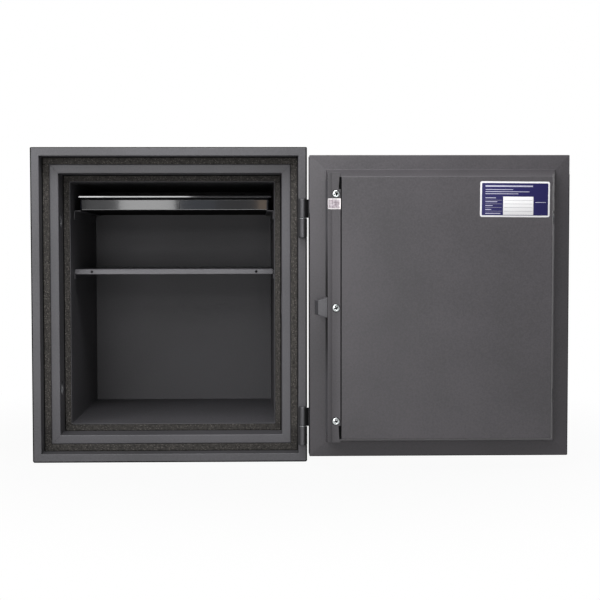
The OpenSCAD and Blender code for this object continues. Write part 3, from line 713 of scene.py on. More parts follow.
# %% Back sheet
back_face = BACK - FRONT
bead = bent([(40, back_face - SHEET), (0, back_face - SHEET), (0, back_face), (30, back_face),
             (33, back_face - 0.9), (45, back_face - 0.9), (48, back_face), (CAP, back_face)],
            [0.01, 0.3, 0.6, 1.5, 1.5, 1.5, 1.5, 0.01], closed=False)
back = ring(CABINET, bead[:, 0], bead[:, 1], corner_radii(bead[:, 0]), on_cabinet)


def dome(x, z, face, radius, height, way=1, steps=20):
    """A shallow cap: its height falls with the cosine of the way out to its rim."""
    t = np.linspace(0, 1, 6)
    bulge = np.column_stack([radius * t, face + way * height * np.cos(t * np.pi / 2)])
    under = [(radius, face - way * 0.3), (0, face - way * 0.3)]
    return skin(turned(np.vstack([bulge, under]), (x, 0, z), "y", steps))


weld_inset, first_weld = 9.0, 28.0
weld_x = np.linspace(CABINET[0] + first_weld, CABINET[1] - first_weld, 8)
weld_z = np.linspace(CABINET[2] + first_weld, CABINET[3] - first_weld, 9)
welds = [(x, z) for x in weld_x for z in (CABINET[2] + weld_inset, CABINET[3] - weld_inset)]
welds += [(x, z) for z in weld_z for x in (CABINET[0] + weld_inset, CABINET[1] - weld_inset)]
piece("back_sheet",
      [skin(back, caps=True)] + [dome(x, z, BACK, 3.0, 0.25) for x, z in welds],
      casing_coat, "cabinet", ["back_panel"])

# %% Filler plugs
plug_low, plug_high = box_mm("filler_plugs")
plug_r = (plug_high[2] - plug_low[2]) / 2
plug_top = plug_high[1]
plug_shells = []
for x in (plug_low[0] + plug_r, plug_high[0] - plug_r):
    profile = bent([(0, BACK - 6), (plug_r - 3, BACK - 6), (plug_r - 3, BACK), (plug_r, BACK),
                    (plug_r, plug_top - 0.3), (plug_r - 5, plug_top), (plug_r - 6, plug_top - 0.7),
                    (plug_r - 8, plug_top - 0.7), (plug_r - 9, plug_top), (0, plug_top)],
                   0.25, closed=False, guard=0.15)
    plug_shells.append(skin(turned(profile, (x, 0, middle_z), "y")))
piece("pouring_plugs", plug_shells, black_plastic, "cabinet", ["filler_plugs"])

# %% [markdown]
# ## The thermal breaks
#
# The two bands are the part of a fire safe that a visitor notices: rough, brown and grainy
# between the smooth painted steps. A bump alone looks painted on when light rakes across it,
# so the stipple is real height. White noise is filtered in its spectrum to keep only one
# wavelength, which gives grains of one size and repeats without a seam round the ring.

# %% Stipple
GRAIN, GRAIN_HEIGHT = 3.2, 0.3  # the stipple's wavelength and its usual height


def stipple(rows, columns, pitch, wavelength, seed):
    """Noise with one grain size: its spectrum is kept in a bell round the wavelength."""
    noise = np.random.default_rng(seed).standard_normal((rows, columns))
    across, along = np.fft.fftfreq(rows, pitch)[:, None], np.fft.rfftfreq(columns, pitch)
    waves = np.hypot(across, along) * wavelength
    field = np.fft.irfft2(np.fft.rfft2(noise) * np.exp(-((waves - 1) / 0.5) ** 2),
                          s=(rows, columns))
    return field / field.std()


def thermal_break(name, seed, outer, inner, front, slope, back, replaces):
    """A ring whose face slopes inwards from the outer inset, roughened along the depth.

    A narrow groove follows both edges, and a joint crosses the band at each upper corner,
    where the upright lengths meet the top one.
    """
    pitch = 0.9
    rows = int((inner - outer) / pitch) + 2
    t = np.linspace(0, 1, rows)
    groove = 1.6 * near((1 - t) * (inner - outer), 0.7) + 2.0 * near(t * (inner - outer), 0.7)
    face = np.column_stack([outer + (inner - outer) * t, front + slope * t + groove])
    behind = [(inner, back), (outer - SHEET, back), (outer - SHEET, front + 0.3)]
    section = np.vstack([face, behind])
    along = np.linspace(0, 1, int((CABINET[3] - CABINET[2]) / pitch))[1:-1]
    grid = ring(CABINET, section[:, 0], section[:, 1], np.full(len(section), 0.5), on_cabinet,
                arc_steps=2, along=along)
    height = stipple(rows, grid.shape[1], pitch, GRAIN, seed) * GRAIN_HEIGHT
    highest = 2 * GRAIN_HEIGHT
    grid[:rows, :, 1] -= np.clip(height, -highest, highest) * np.sin(np.pi * t)[:, None] ** 0.3
    joint = near(CABINET[3] - inner - grid[..., 2], 1.0)
    beside = np.abs(grid[..., 0]) > CABINET[1] - inner + 0.5
    grid[..., 1] += 2.4 * joint * beside * (np.arange(len(section)) < rows)[:, None]
    return piece(name, [skin(grid, round_rows=True)], compound, "cabinet",
                 replaces)


thermal_break("compound_band_outer", 7, flange, inset_2, rebate_1, depth_2 - rebate_1,
              box_mm("outer_thermal_break")[1][1] - FRONT, ["outer_thermal_break"])
thermal_break("compound_band_inner", 11, inset_3, wall - LINER * 0.4, depth_3,
              (mouth - depth_3) * 0.93, box_mm("inner_thermal_break")[1][1] - FRONT,
              ["inner_thermal_break"])

# %% [markdown]
# ### The painted shade beside the compound
#
# The joint between the compound and the steel above and beside it is drawn as painted shade.
# The groove in the grid alone is too narrow to look dark, so the shade is a thin black bar of
# its own up each side and along the top of both bands. At the foot the compound rests on the
# steel, and no bar is laid there.

# %% Joint lines


def joint_bars(inset, depth, left_w, right_w, top_w):
    """Bars of three widths that lie in the joint, with their face just proud of the compound."""
    face, heel = FRONT + depth - 0.1, FRONT + depth + 1.3
    top = CABINET[3] - inset
    bars = []
    for x, way, w in ((CABINET[0] + inset, 1, left_w), (CABINET[1] - inset, -1, right_w)):
        upright = bent([(x, heel), (x + way * w, heel), (x + way * w, face), (x, face)],
                       0.1, guard=0.1)
        bars.append(skin(plate(upright, CABINET[2] + inset + 1, top - top_w, 0.2, lying),
                         caps=True))
    level = bent([(heel, top), (heel, top - top_w), (face, top - top_w), (face, top)],
                 0.1, guard=0.1)
    bars.append(skin(plate(level, CABINET[0] + inset, CABINET[1] - inset, 0.2, along_x),
                     caps=True))
    return bars


piece("compound_joint_lines",
      joint_bars(flange, rebate_1, 1.5, 0.8, 1.0) + joint_bars(inset_3, depth_3, 1.5, 1.4, 1.4),
      shade_black, "cabinet")

# %% [markdown]
# ## The middle frame
#
# This is the second steel step: a face, and a wall folded back from it. Its four lengths are
# mitred and welded, so a faint ridge crosses each corner. The left wall has the two holes that
# the bolts enter, and the right wall the slot for the door's fixed dog. The wall is built
# whole and then cut.

# %% Middle frame
break_back = box_mm("outer_thermal_break")[1][1] - FRONT
frame_section = bent(
    [(inset_2, break_back), (inset_2, depth_2), (inset_3, depth_2), (inset_3, depth_3),
     (inset_3 - SHEET, depth_3), (inset_3 - SHEET, depth_2 + SHEET),
     (inset_2 + SHEET, depth_2 + SHEET), (inset_2 + SHEET, break_back)],
    [0.3, 1.6, 1.4, 0.3, 0.3, 0.2, 0.2, 0.3])
frame_ring = ring(CABINET, frame_section[:, 0], frame_section[:, 1],
                  np.full(len(frame_section), 0.8), on_cabinet)


def mitre(corner_x, corner_z, way_x, way_z):
    """A low weld ridge across a corner of the face: a half round run along the diagonal."""
    half_w, ridge_h, short = 0.7, 0.28, 0.8
    t = np.linspace(0, 1, 9)[:, None]
    reach = inset_2 + short + (inset_3 - inset_2 - 2 * short) * t
    a = np.linspace(0, 2 * np.pi, 10, endpoint=False)
    swell = np.sin(np.pi * (0.08 + 0.84 * t)) ** 0.5
    side = half_w * np.cos(a) * swell / math.sqrt(2)
    depth = depth_2 - ridge_h * np.sin(a) * swell
    x = corner_x + way_x * (reach + side)
    z = corner_z + way_z * (reach - side)
    return skin(on_cabinet(x, z, depth), caps=True)


ridges = [mitre(x, z, 1 if x < 0 else -1, 1 if z < middle_z else -1)
          for x in CABINET[:2] for z in CABINET[2:]]
middle = piece("middle_frame_sheet", [skin(frame_ring, round_rows=True)], lit_frame_coat,
               "cabinet", ["middle_frame"])
socket_low, socket_high = box_mm("upper_bolt_socket")
bolt_y = (socket_low[1] + socket_high[1]) / 2
bolt_zs = [np.mean([box_mm(n)[i][2] for i in (0, 1)])
           for n in ("upper_bolt_socket", "lower_bolt_socket")]
socket_r = (socket_high[2] - socket_low[2]) / 2 - SHEET
pocket_low, pocket_high = box_mm("dog_pocket")


def block(low, high, place=lying):
    """A plain box to cut with."""
    rect = (low[0], high[0], low[1], high[1])
    return skin(ring(rect, [0, 0], [low[2], high[2]], [0.4, 0.4], place), caps=True)


cut(middle, [rod(bolt_y, z, socket_r, CABINET[0] + inset_2 + 4, CABINET[0] + inset_3 + 2, "x")
             for z in bolt_zs]
    + [block(pocket_low + (-3, SHEET, SHEET), pocket_high + (-8, -SHEET, -SHEET))])
# Painted shade on the wall of the second rebate.
tone_amount(middle, recess(inset_3, depth_2 + 1.4, 0.25))
piece("middle_frame_welds", ridges, lit_frame_coat, "cabinet")

# %% [markdown]
# ## The compartment's liner
#
# The liner is a thin dark box. Its front edge stands a little proud of the compound and
# catches the light as a fine line. The shell runs from the middle of the back wall, forwards
# round that edge, and back again outside, so it has a true thickness.

# %% Liner
LIP = mouth - 1.6
liner_section = bent(
    [(wall + CAP, cavity_back), (wall, cavity_back), (wall, LIP), (wall - LINER, LIP),
     (wall - LINER, cavity_back + LINER), (wall + CAP, cavity_back + LINER)],
    [1, 2.0, 0.45, 0.45, 2.5, 1], closed=False)
liner = ring(CABINET, liner_section[:, 0], liner_section[:, 1],
             np.full(len(liner_section), 1.5), on_cabinet)
piece("compartment_liner", [skin(liner, caps=True)], liner_coat, "cabinet",
      ["inner_liner"])

# %% [markdown]
# ## Ledges, shelf and tray
#
# Four folded angles carry the shelf and the tray. An angle is an L-shaped outline pushed along
# its length, and the shelf is the same idea turned sideways: its outline is a channel seen
# from the end. A black plug fills each of the two holes in its lip: painted shade in the holes.

# %% Ledges
angle_t = 1.5
for name in ("shelf_ledge_left", "shelf_ledge_right", "tray_runner_left", "tray_runner_right"):
    low, high = box_mm(name)
    root, tip = (low[0], high[0]) if low[0] < 0 else (high[0], low[0])
    way = np.sign(tip - root)
    angle_outline = bent(
        [(root, high[2]), (tip, high[2]), (tip, high[2] - angle_t),
         (root + way * angle_t, high[2] - angle_t), (root + way * angle_t, low[2]),
         (root, low[2])], [0.9, 0.4, 0.4, 0.6, 0.4, 0.4], guard=0.1)
    piece(name.replace("_", "_angle_", 1),
          [skin(plate(angle_outline, low[1], high[1], 0.25, along_y), caps=True)],
          liner_coat, "cabinet", [name])

# %% Shelf
shelf_low, shelf_high = box_mm("shelf")
front_y, back_y, top_z, lip_z = shelf_low[1], shelf_high[1], shelf_high[2], shelf_low[2]
shelf_t = 1.2
front_lip = bent(
    [(front_y, lip_z), (front_y, top_z), (back_y, top_z), (back_y, top_z - shelf_t),
     (front_y + shelf_t, top_z - shelf_t), (front_y + shelf_t, lip_z)],
    [0.4, 0.8, 0.4, 0.4, 0.5, 0.4], guard=0.2)
back_lip = bent([(back_y - shelf_t, lip_z), (back_y - shelf_t, top_z - 0.4),
                 (back_y, top_z - 0.4), (back_y, lip_z)], 0.3, guard=0.1)
lip_short = 16.0
shelf = piece("steel_shelf",
              [skin(plate(front_lip, shelf_low[0], shelf_high[0], 0.3, along_x), caps=True),
               skin(plate(back_lip, shelf_low[0] + lip_short, shelf_high[0] - lip_short, 0.3,
                          along_x), caps=True)],
              lit_shelf_coat, "shelf", ["shelf"])
stop_in, stop_z, hole_r, hole_shade_r = 28.0, top_z - 4.4, 2.2, 2.18
stop_xs = (shelf_low[0] + stop_in, shelf_high[0] - stop_in)
cut(shelf, [rod(x, stop_z, hole_r, front_y - 2, front_y + shelf_t + 2, steps=24)
            for x in stop_xs])
# A black plug in each hole is painted shade.
hole_shade_profile = bent([(0, front_y + 0.7), (hole_shade_r, front_y + 0.7), (hole_shade_r, front_y + 3),
                     (0, front_y + 3)], [1, 0.1, 0.1, 1], closed=False, guard=0.1)
piece("shelf_hole_shade",
      [skin(turned(hole_shade_profile, (x, 0, stop_z), "y", 24)) for x in stop_xs],
      shade_black, "shelf")

# %% [markdown]
# ### The tray
#
# The tray is moulded: everything has a radius, the rim rolls outwards and the floor meets the
# wall in a soft curve. It is a stack of rounded rectangles seen from above, which follows the
# section of the wall down the outside, round the rim, and down again to the floor. A black
# strip in the groove under the rim and a thin black sheet under the foot are painted shade.

# %% Tray
tray_low, tray_high = box_mm("tray")
TRAY = (tray_low[0], tray_high[0], tray_low[1], tray_high[1])
foot_shade_t = 0.5
foot, rim = tray_low[2] + foot_shade_t, tray_high[2]
rim_w, tray_wall = 4.5, 2.0
rim_h, groove_h = 3.9, 3.0
under_rim = rim - rim_h
groove_z = under_rim - groove_h
tray_section = bent(
    [(CAP, foot), (rim_w + 0.3, foot), (rim_w, groove_z), (rim_w + 1.4, under_rim - groove_h / 2),
     (rim_w + 0.2, under_rim), (1.6, under_rim), (0, under_rim + 1.2), (0.3, rim),
     (rim_w + tray_wall, rim), (rim_w + tray_wall + 0.6, foot + tray_wall),
     (CAP, foot + tray_wall)],
    [1, 0.7, 0.2, 0.05, 0.2, 0.5, 0.3, 0.35, 0.8, 3.0, 1], closed=False, guard=0.3)
tray_radii = np.interp(tray_section[:, 0], [0, rim_w, 8], [2.6, 3.2, 4.0])
tray = ring(TRAY, tray_section[:, 0], tray_section[:, 1], tray_radii, lying, arc_steps=10)
rib_left, rib_right, rib_low, rib_high = 6.5, 9.0, foot + 1.5, groove_z - 0.4
rib = bent([(rib_left, rib_low), (rib_right, rib_low), (rib_right, rib_high),
            (rib_left, rib_high)], 1.1, guard=0.1)
centre_rib = plate(rib, tray_low[1] + rim_w + 1.2, tray_low[1] + rim_w - 1.0, 1.0, along_y)
piece("sliding_tray", [skin(tray, caps=True), skin(centre_rib, caps=True)], smoke_plastic,
      "tray", ["tray"])
# The black strip under the rim and the black sheet under the foot are painted shade.
rim_shade_out, rim_shade_in, rim_shade_low, rim_shade_high = rim_w + 0.3, rim_w + 1.2, groove_z + 0.2, under_rim + 0.1
rim_shade_section = bent([(rim_shade_out, rim_shade_low), (rim_shade_out, rim_shade_high), (rim_shade_in, rim_shade_high),
                     (rim_shade_in, rim_shade_low)], 0.15, guard=0.1)
rim_shade = ring(TRAY, rim_shade_section[:, 0], rim_shade_section[:, 1], np.full(len(rim_shade_section), 3.0), lying)
foot_shade = ring(TRAY, [rim_w + 0.7] * 2, [tray_low[2], foot + 0.2], [2.6] * 2, lying)
piece("tray_painted_shade", [skin(rim_shade, round_rows=True), skin(foot_shade, caps=True)], shade_black,
      "tray")

# %% [markdown]
# ## Hinges
#
# Each hinge is a lift-off pair: a lower knuckle with a pin welded to the flange, a thin
# washer, and an upper knuckle on the door that drops over the pin. The knuckles are turned
# from bar, so their profile is spun, and a pad with a rounded weld joins each to its steel.
# The door's knuckle hangs on a black leaf: painted shade between the barrel and the door. The
# sides of each barrel and the mouth of its joint are painted near-black as shade.

# %% Barrels, welds and painted shade
KNUCKLE_EDGE = 2.4


def knuckle(x, y, joint_z, end_z, radius, bore):
    """A barrel with a crisp mouth at the joint and a rounded outer end."""
    way = np.sign(end_z - joint_z)
    profile = bent(
        [(bore, end_z - way * 3), (bore, joint_z), (radius, joint_z), (radius, end_z),
         (0, end_z), (0, end_z - way * 3)],
        [0.2, 0.4, 0.5, KNUCKLE_EDGE, 0.01, 0.01], guard=0.4)
    return skin(turned(profile, (x, y, 0), "z"), round_rows=True)


def weld_bead(x, y, low_z, high_z, radius):
    """A wavy fillet: a rod whose radius ripples as each drop of weld did."""
    drop_pitch, ripple_part = 2.2, 0.09
    t = np.linspace(0, 1, 60)
    z = low_z + (high_z - low_z) * t
    ripple = radius * np.sin(np.pi * np.clip(t, 0.02, 0.98)) ** 0.25
    ripple = ripple * (1 + ripple_part * np.sin(t * (high_z - low_z) / drop_pitch * 2 * np.pi))
    return skin(turned(np.column_stack([ripple, z]), (x, y, 0), "z", 16), caps=True)


def barrel_shade(axis_x, joint_z):
    """Painted shade on both sides of a barrel, and at the mouth of the joint."""
    def amount(x, y, z):
        right_side = np.clip((x - axis_x - 1.4) / 1.0, 0, 0.97)
        left_side = np.clip((axis_x - 2.0 - x) / 4.0, 0, 0.7)
        mouth_edge = 0.5 * near(z - joint_z, 0.8)
        return np.maximum(right_side, np.maximum(left_side, mouth_edge))
    return amount


# %% Hinges
leaf_t, leaf_edge, leaf_y = 3.0, 24.0, DOOR_FACE
pad_half, coat_t = 4.5, 0.4
for level in ("upper", "lower"):
    pin_low, pin_high = box_mm(f"{level}_hinge_pin")
    hinge_x, hinge_y = (pin_low[0] + pin_high[0]) / 2, (pin_low[1] + pin_high[1]) / 2
    pin_r = (pin_high[0] - pin_low[0]) / 2
    body_low, body_high = box_mm(f"{level}_body_knuckle")
    door_low, door_high = box_mm(f"{level}_door_knuckle")
    knuckle_r = hinge_y - body_low[1] + coat_t
    pad = bent([(hinge_x - pad_half, hinge_y), (hinge_x - pad_half, FRONT),
                (hinge_x + pad_half, FRONT), (hinge_x + pad_half, hinge_y)], 0.3, guard=0.2)
    fixed = piece(f"{level}_fixed_knuckle",
                  [knuckle(hinge_x, hinge_y, body_high[2], body_low[2], knuckle_r, pin_r),
                   skin(plate(pad, body_low[2] + 3, body_high[2] - 2, 0.8, lying), caps=True),
                   weld_bead(hinge_x - 4.8, FRONT - 0.5, body_low[2] + 3, body_high[2] - 2, 1.3)],
                  hinge_coat, "cabinet", [f"{level}_body_knuckle"])
    leaf = bent([(DOOR[0] + 0.5, leaf_y), (DOOR[0] + 0.5, leaf_y + leaf_t),
                 (DOOR[0] + leaf_edge, leaf_y + leaf_t), (DOOR[0] + leaf_edge, leaf_y)],
                [0.2, 0.8, 1.0, 0.2], guard=0.3)
    neck = bent([(hinge_x, hinge_y - 3), (hinge_x, hinge_y + 3), (DOOR[0] + 2, leaf_y + leaf_t),
                 (DOOR[0] + 2, leaf_y + 0.4)], 0.5, guard=0.3)
    lift = piece(f"{level}_lift_off_knuckle",
                 [knuckle(hinge_x, hinge_y, door_low[2], door_high[2], knuckle_r, pin_r + 0.05)],
                 hinge_coat, "door", [f"{level}_door_knuckle"])
    # Painted shade on the sides of each barrel and at its joint.
    tone_amount(fixed, barrel_shade(hinge_x, body_high[2]))
    tone_amount(lift, barrel_shade(hinge_x, door_low[2]))
    # The leaf and its neck are black: painted shade between the barrel and the door.
    piece(f"{level}_hinge_leaf",
          [skin(plate(leaf, door_low[2], door_high[2], 0.8, lying), caps=True),
           skin(plate(neck, door_low[2] + 0.1, door_high[2] - 1.5, 0.6, lying), caps=True),
           weld_bead(DOOR[0] + leaf_edge, leaf_y + 0.4, door_low[2] + 2, door_high[2] - 2, 1.2)],
          shade_black, "door")

# %% [markdown]
# ## The door's outer skin
#
# From outside the door is a plain flat panel. The skin is a shallow tray of steel: a face with
# its four edges folded back, into which the inner pan is set. Three holes are drilled in it,
# for the lever's spindle, the key lock and the rivet of its cover.

# %% Door skin
skin_depth = door_edge - PAN
door_section = bent(
    [(CAP, 0), (0, 0), (0, skin_depth), (SHEET, skin_depth), (SHEET, SHEET), (CAP, SHEET)],
    [1, 1.6, 0.3, 0.3, 0.5, 1], closed=False)
door_shell = ring(DOOR, door_section[:, 0], door_section[:, 1],
                  np.clip(2.0 - door_section[:, 0], 0.6, 2.0), on_door)
door_skin = piece("door_outer_skin", [skin(door_shell, caps=True)], casing_coat, "door",
                  ["door_skin"])
rivet_low, rivet_high = box_mm("cover_rivet")
core_low, core_high = box_mm("lock_core")
bush_low, bush_high = box_mm("spindle_bush")
spindle_x, spindle_z = (bush_low[0] + bush_high[0]) / 2, (bush_low[2] + bush_high[2]) / 2
core_z, core_r = (core_low[2] + core_high[2]) / 2, (core_high[0] - core_low[0]) / 2
rivet_z = (rivet_low[2] + rivet_high[2]) / 2
spindle_hole_r, rivet_hole_r = 9.0, 2.0
drilled = (DOOR_FACE - 4, DOOR_FACE + 2)
cut(door_skin, [rod(spindle_x, spindle_z, spindle_hole_r, *drilled),
                rod(spindle_x, core_z, core_r + 0.1, *drilled),
                rod(spindle_x, rivet_z, rivet_hole_r, *drilled, steps=24)])

# %% [markdown]
# ## The door's inner pan
#
# This pressed sheet is what the open door shows: a flange that slopes up like a picture frame,
# a foot line, and the plug's sloping sides. Three sides of the plug lean inwards and the one
# by the hinges is upright, so the four sides need different sections. `ring` takes four insets
# and four depths a row, and the mitres at the corners come by themselves.

# %% Pan
FOOT, FOOT_DEPTH = 23.0, 28.5
LOCK_SIDE, UPPER_SIDE, HINGE_SIDE, LOWER_SIDE = 39.0, 36.0, 26.0, 34.0


def pan_section(foot, top):
    """The pan's section on one side: edge, flange, foot, plug side, and back again inside."""
    return bent(
        [(top + CAP, door_t), (top, door_t), (foot, FOOT_DEPTH), (0.15, door_edge),
         (0.15, door_edge - PAN), (foot + PAN, FOOT_DEPTH - PAN - 0.5),
         (top + PAN, door_t - PAN), (top + CAP, door_t - PAN)],
        [1, 2.2, 1.2, 0.5, 0.2, 0.8, 1.2, 1], closed=False)


sides = np.stack([pan_section(FOOT, LOCK_SIDE), pan_section(FOOT, UPPER_SIDE),
                  pan_section(HINGE_SIDE, HINGE_SIDE), pan_section(FOOT, LOWER_SIDE)], 1)
pan_radii = np.interp(sides[:, 1, 1], [door_edge, FOOT_DEPTH, door_t], [0.9, 1.2, 2.6])
pan = ring(DOOR, sides[..., 0], sides[..., 1], pan_radii, on_door, arc_steps=8)
door_pan = piece("door_plug_pan", [skin(pan, caps=True)], door_coat, "door",
                 ["door_inner_pan"])
guide_low, guide_high = box_mm("upper_bolt_guide")
bolt_y_door = (guide_low[1] + guide_high[1]) / 2
bolt_hole_r, hole_depth = 11.0, 60.0
cut(door_pan, [rod(bolt_y_door, z, bolt_hole_r, DOOR[1] - hole_depth, DOOR[1] + 2, "x")
               for z in bolt_zs])


def flange_shade(x, y, z):
    """Painted shade on the hinge and lower flanges, more so towards the bottom."""
    fall = (DOOR[3] - z) / (DOOR[3] - DOOR[2])
    hinge_flange = 0.2 * fall * (x < DOOR[0] + HINGE_SIDE + 0.5)
    lower_flange = 0.12 * (z < DOOR[2] + FOOT + 0.5)
    return np.maximum(hinge_flange, lower_flange) * (y > DOOR_FACE - FOOT_DEPTH - 1)


# Painted shade on the door's hinge-side and lower flanges.
tone_amount(door_pan, flange_shade)

# %% [markdown]
# ### The painted seam line
#
# The pan is pressed into the door's tray-shaped skin, and the seam between them is drawn as a
# thin black line: painted shade. It could be painted on the pan by a mask, but a line under a
# millimetre wide would then need a very fine mesh. A bead of its own is cheaper and stays
# sharp: a small section carried along the two upright edges and the lower one.

# %% Painted shade in the seam round the pan
seam_y = DOOR_FACE - door_edge
line_w, proud, sunk, short = 0.9, -0.35, 0.6, 0.8
corners = [(0, sunk), (line_w, sunk), (line_w, proud), (0, proud)]
seam_shells = [skin(plate(bent([(x + way * p, seam_y + q) for p, q in corners], 0.1, guard=0.1),
                          DOOR[2] + short, top, 0.2, lying), caps=True)
               for x, way, top in ((DOOR[0], 1, DOOR[3] - 90), (DOOR[1], -1, DOOR[3] - 30))]
lower_line = bent([(seam_y + q, DOOR[2] + p) for p, q in corners], 0.1, guard=0.1)
seam_shells.append(skin(plate(lower_line, DOOR[0] + short, DOOR[1] - short, 0.2, along_x),
                        caps=True))
piece("pan_seam_shade", seam_shells, shade_black, "door")

# %% [markdown]
# ## Strip, painted shade and screws on the hinge side
#
# A stepped strip covers the seam where the pan is closed, held by three pan-head screws. A
# black sheet under it shows as a dark line along its edge: painted shade. At both ends the
# strip's edge is relieved by a long wedge, where that black sheet shows as a black slot.

# %% Strip and its painted shade
strip_low, strip_high = box_mm("hinge_side_strip")
screw_low, screw_high = box_mm("strip_screws")
screw_head_r = 5.5
screw_x = (screw_low[0] + screw_high[0]) / 2
screw_zs = np.linspace(screw_low[2] + screw_head_r, screw_high[2] - screw_head_r, 3)
face_y, strip_top_y = DOOR_FACE - door_t, strip_low[1]
under_strip_t, step_x, low_step_y = 0.5, strip_low[0] + 6.5, face_y - 1.2
strip_outline = bent(
    [(strip_low[0], face_y - under_strip_t), (strip_low[0], low_step_y), (step_x, low_step_y),
     (step_x, strip_top_y), (strip_high[0], strip_top_y), (strip_high[0], face_y - under_strip_t)],
    [0.2, 0.35, 0.2, 0.5, 0.6, 0.2], guard=0.15)
strip = piece("stepped_cover_strip",
              [skin(plate(strip_outline, strip_low[2], strip_high[2], 0.4, lying), caps=True)],
              door_coat, "door", ["hinge_side_strip"])


def relief(tip_z, screw_z):
    """A wedge to cut from the strip's edge, wide by the screw and narrow at the strip's end."""
    edge = strip_high[0] + 1
    outline = bent([(edge, tip_z), (edge, screw_z), (edge - 4.2, screw_z), (edge - 2.9, tip_z)],
                   0.3, guard=0.2)
    return skin(plate(outline, face_y - 4, face_y - 0.2, 0.05, along_y), caps=True)


plug_ends = (DOOR[2] + LOWER_SIDE, DOOR[3] - UPPER_SIDE)
screw_gap, under_shade_lap = 7.0, 1.6
cut(strip, [relief(plug_ends[0], screw_zs[0] - screw_gap),
            relief(plug_ends[1], screw_zs[2] + screw_gap)])
# The lower step and the edge of the step are painted darker: painted shade at the crease.
tone_amount(strip, lambda x, y, z: 0.14 * (x < step_x - 0.1) + 0.25 * near(x - step_x + 0.2, 0.8))
# The black sheet under the strip is painted shade along its edge and in the wedges.
under_shade_left, under_shade_right = strip_low[0] + 0.5, strip_high[0] + under_shade_lap
under_strip_shade = bent([(under_shade_left, plug_ends[0] + 1), (under_shade_right, plug_ends[0] + 1),
               (under_shade_right, plug_ends[1] - 1), (under_shade_left, plug_ends[1] - 1)],
              0.5, guard=0.5)
piece("strip_edge_shade", [skin(plate(under_strip_shade, face_y - under_strip_t, face_y + 0.2, 0.1, along_y),
                            caps=True)], shade_black, "door")

# %% [markdown]
# ### The screws
#
# A cross-recess screw head is a height over a disc. The dome falls off a little faster than
# with the square of the radius, and the recess is taken from it wherever the point lies in
# either arm of the cross. The arms taper downwards, which a step of the distance gives. A black
# cross at the bottom of each recess and a black ring round each head are painted shade.

# %% Screws
TWIST = math.radians(18)


def cross_head(z, rim_h=0.6, dome_h=2.0, arm_half=0.75, arm_reach=3.1, recess_h=1.3):
    """A pan head with a cross recess: height as a function of place on the disc."""
    rings, spokes = 26, 96
    r = np.linspace(0, 1, rings)[:, None] ** 0.9 * screw_head_r
    angle = np.linspace(0, 2 * np.pi, spokes, endpoint=False)
    px, pz = r * np.cos(angle), r * np.sin(angle)
    fall = np.sqrt(np.clip(1 - (r / screw_head_r) ** 2.6, 0, 1))
    height = rim_h + (dome_h - rim_h) * fall + 0 * px
    u = np.abs(px * math.cos(TWIST) + pz * math.sin(TWIST))
    v = np.abs(pz * math.cos(TWIST) - px * math.sin(TWIST))
    arm = np.minimum(np.maximum(u / arm_half, v / arm_reach),
                     np.maximum(v / arm_half, u / arm_reach))
    recess_depth = recess_h * np.clip((1.25 - arm) / 0.4, 0, 1)
    top = along_y(screw_x + px, z + pz, strip_top_y - height + recess_depth)
    foot_ring = along_y(screw_x + px[-1:], z + pz[-1:], strip_top_y + 0.1 + 0 * px[-1:])
    centre = along_y(screw_x + 0 * px[:1], z + 0 * pz[:1], strip_top_y + 0.1 + 0 * px[:1])
    return skin(np.concatenate([top, foot_ring, centre]))


def recess_shade(z, arm=0.72, reach=2.7):
    """A black cross at the bottom of a recess: painted shade.

    Three corners of one arm are turned by quarters of a circle, and the whole by the twist.
    """
    corner = [(reach, -arm), (reach, arm), (arm, arm)]
    quarters = ((1, 0), (0, 1), (-1, 0), (0, -1))
    cross = np.array([(x * c - y * s, x * s + y * c) for c, s in quarters for x, y in corner])
    spin = np.array([[math.cos(TWIST), math.sin(TWIST)], [-math.sin(TWIST), math.cos(TWIST)]])
    outline = cross @ spin + (screw_x, z)
    return skin(plate(outline, strip_top_y - 0.2, strip_top_y - 0.95, 0.05, along_y), caps=True)


def shade_ring(z):
    """A thin black ring that shows as a line round the head: painted shade."""
    profile = bent([(0.5, strip_top_y + 0.1), (screw_head_r + 0.7, strip_top_y + 0.1),
                    (screw_head_r + 0.7, strip_top_y - 0.35), (0.5, strip_top_y - 0.35)],
                   [0.1, 0.1, 0.15, 0.1], guard=0.1)
    return skin(turned(profile, (screw_x, 0, z), "y"), round_rows=True)


piece("pan_head_screws", [cross_head(z) for z in screw_zs], zinc, "door",
      ["strip_screws"])
piece("screw_recess_shade", [recess_shade(z) for z in screw_zs], shade_black, "door")
piece("screw_shade_rings", [shade_ring(z) for z in screw_zs], shade_black, "door")

# %% [markdown]
# ## Foil seal
#
# The foil lies across the strip just under the top screw, and sags over the strip's step. Its
# relief is a raised border, rings pressed round the middle, and a fine cross-hatch between
# them, all as one height over a grid. A smooth step joins the three.

# %% Foil seal


def soft_step(x):
    """From 0 to 1 as x passes 0: one over one plus e to the minus x."""
    return 1 / (1 + np.exp(-x))


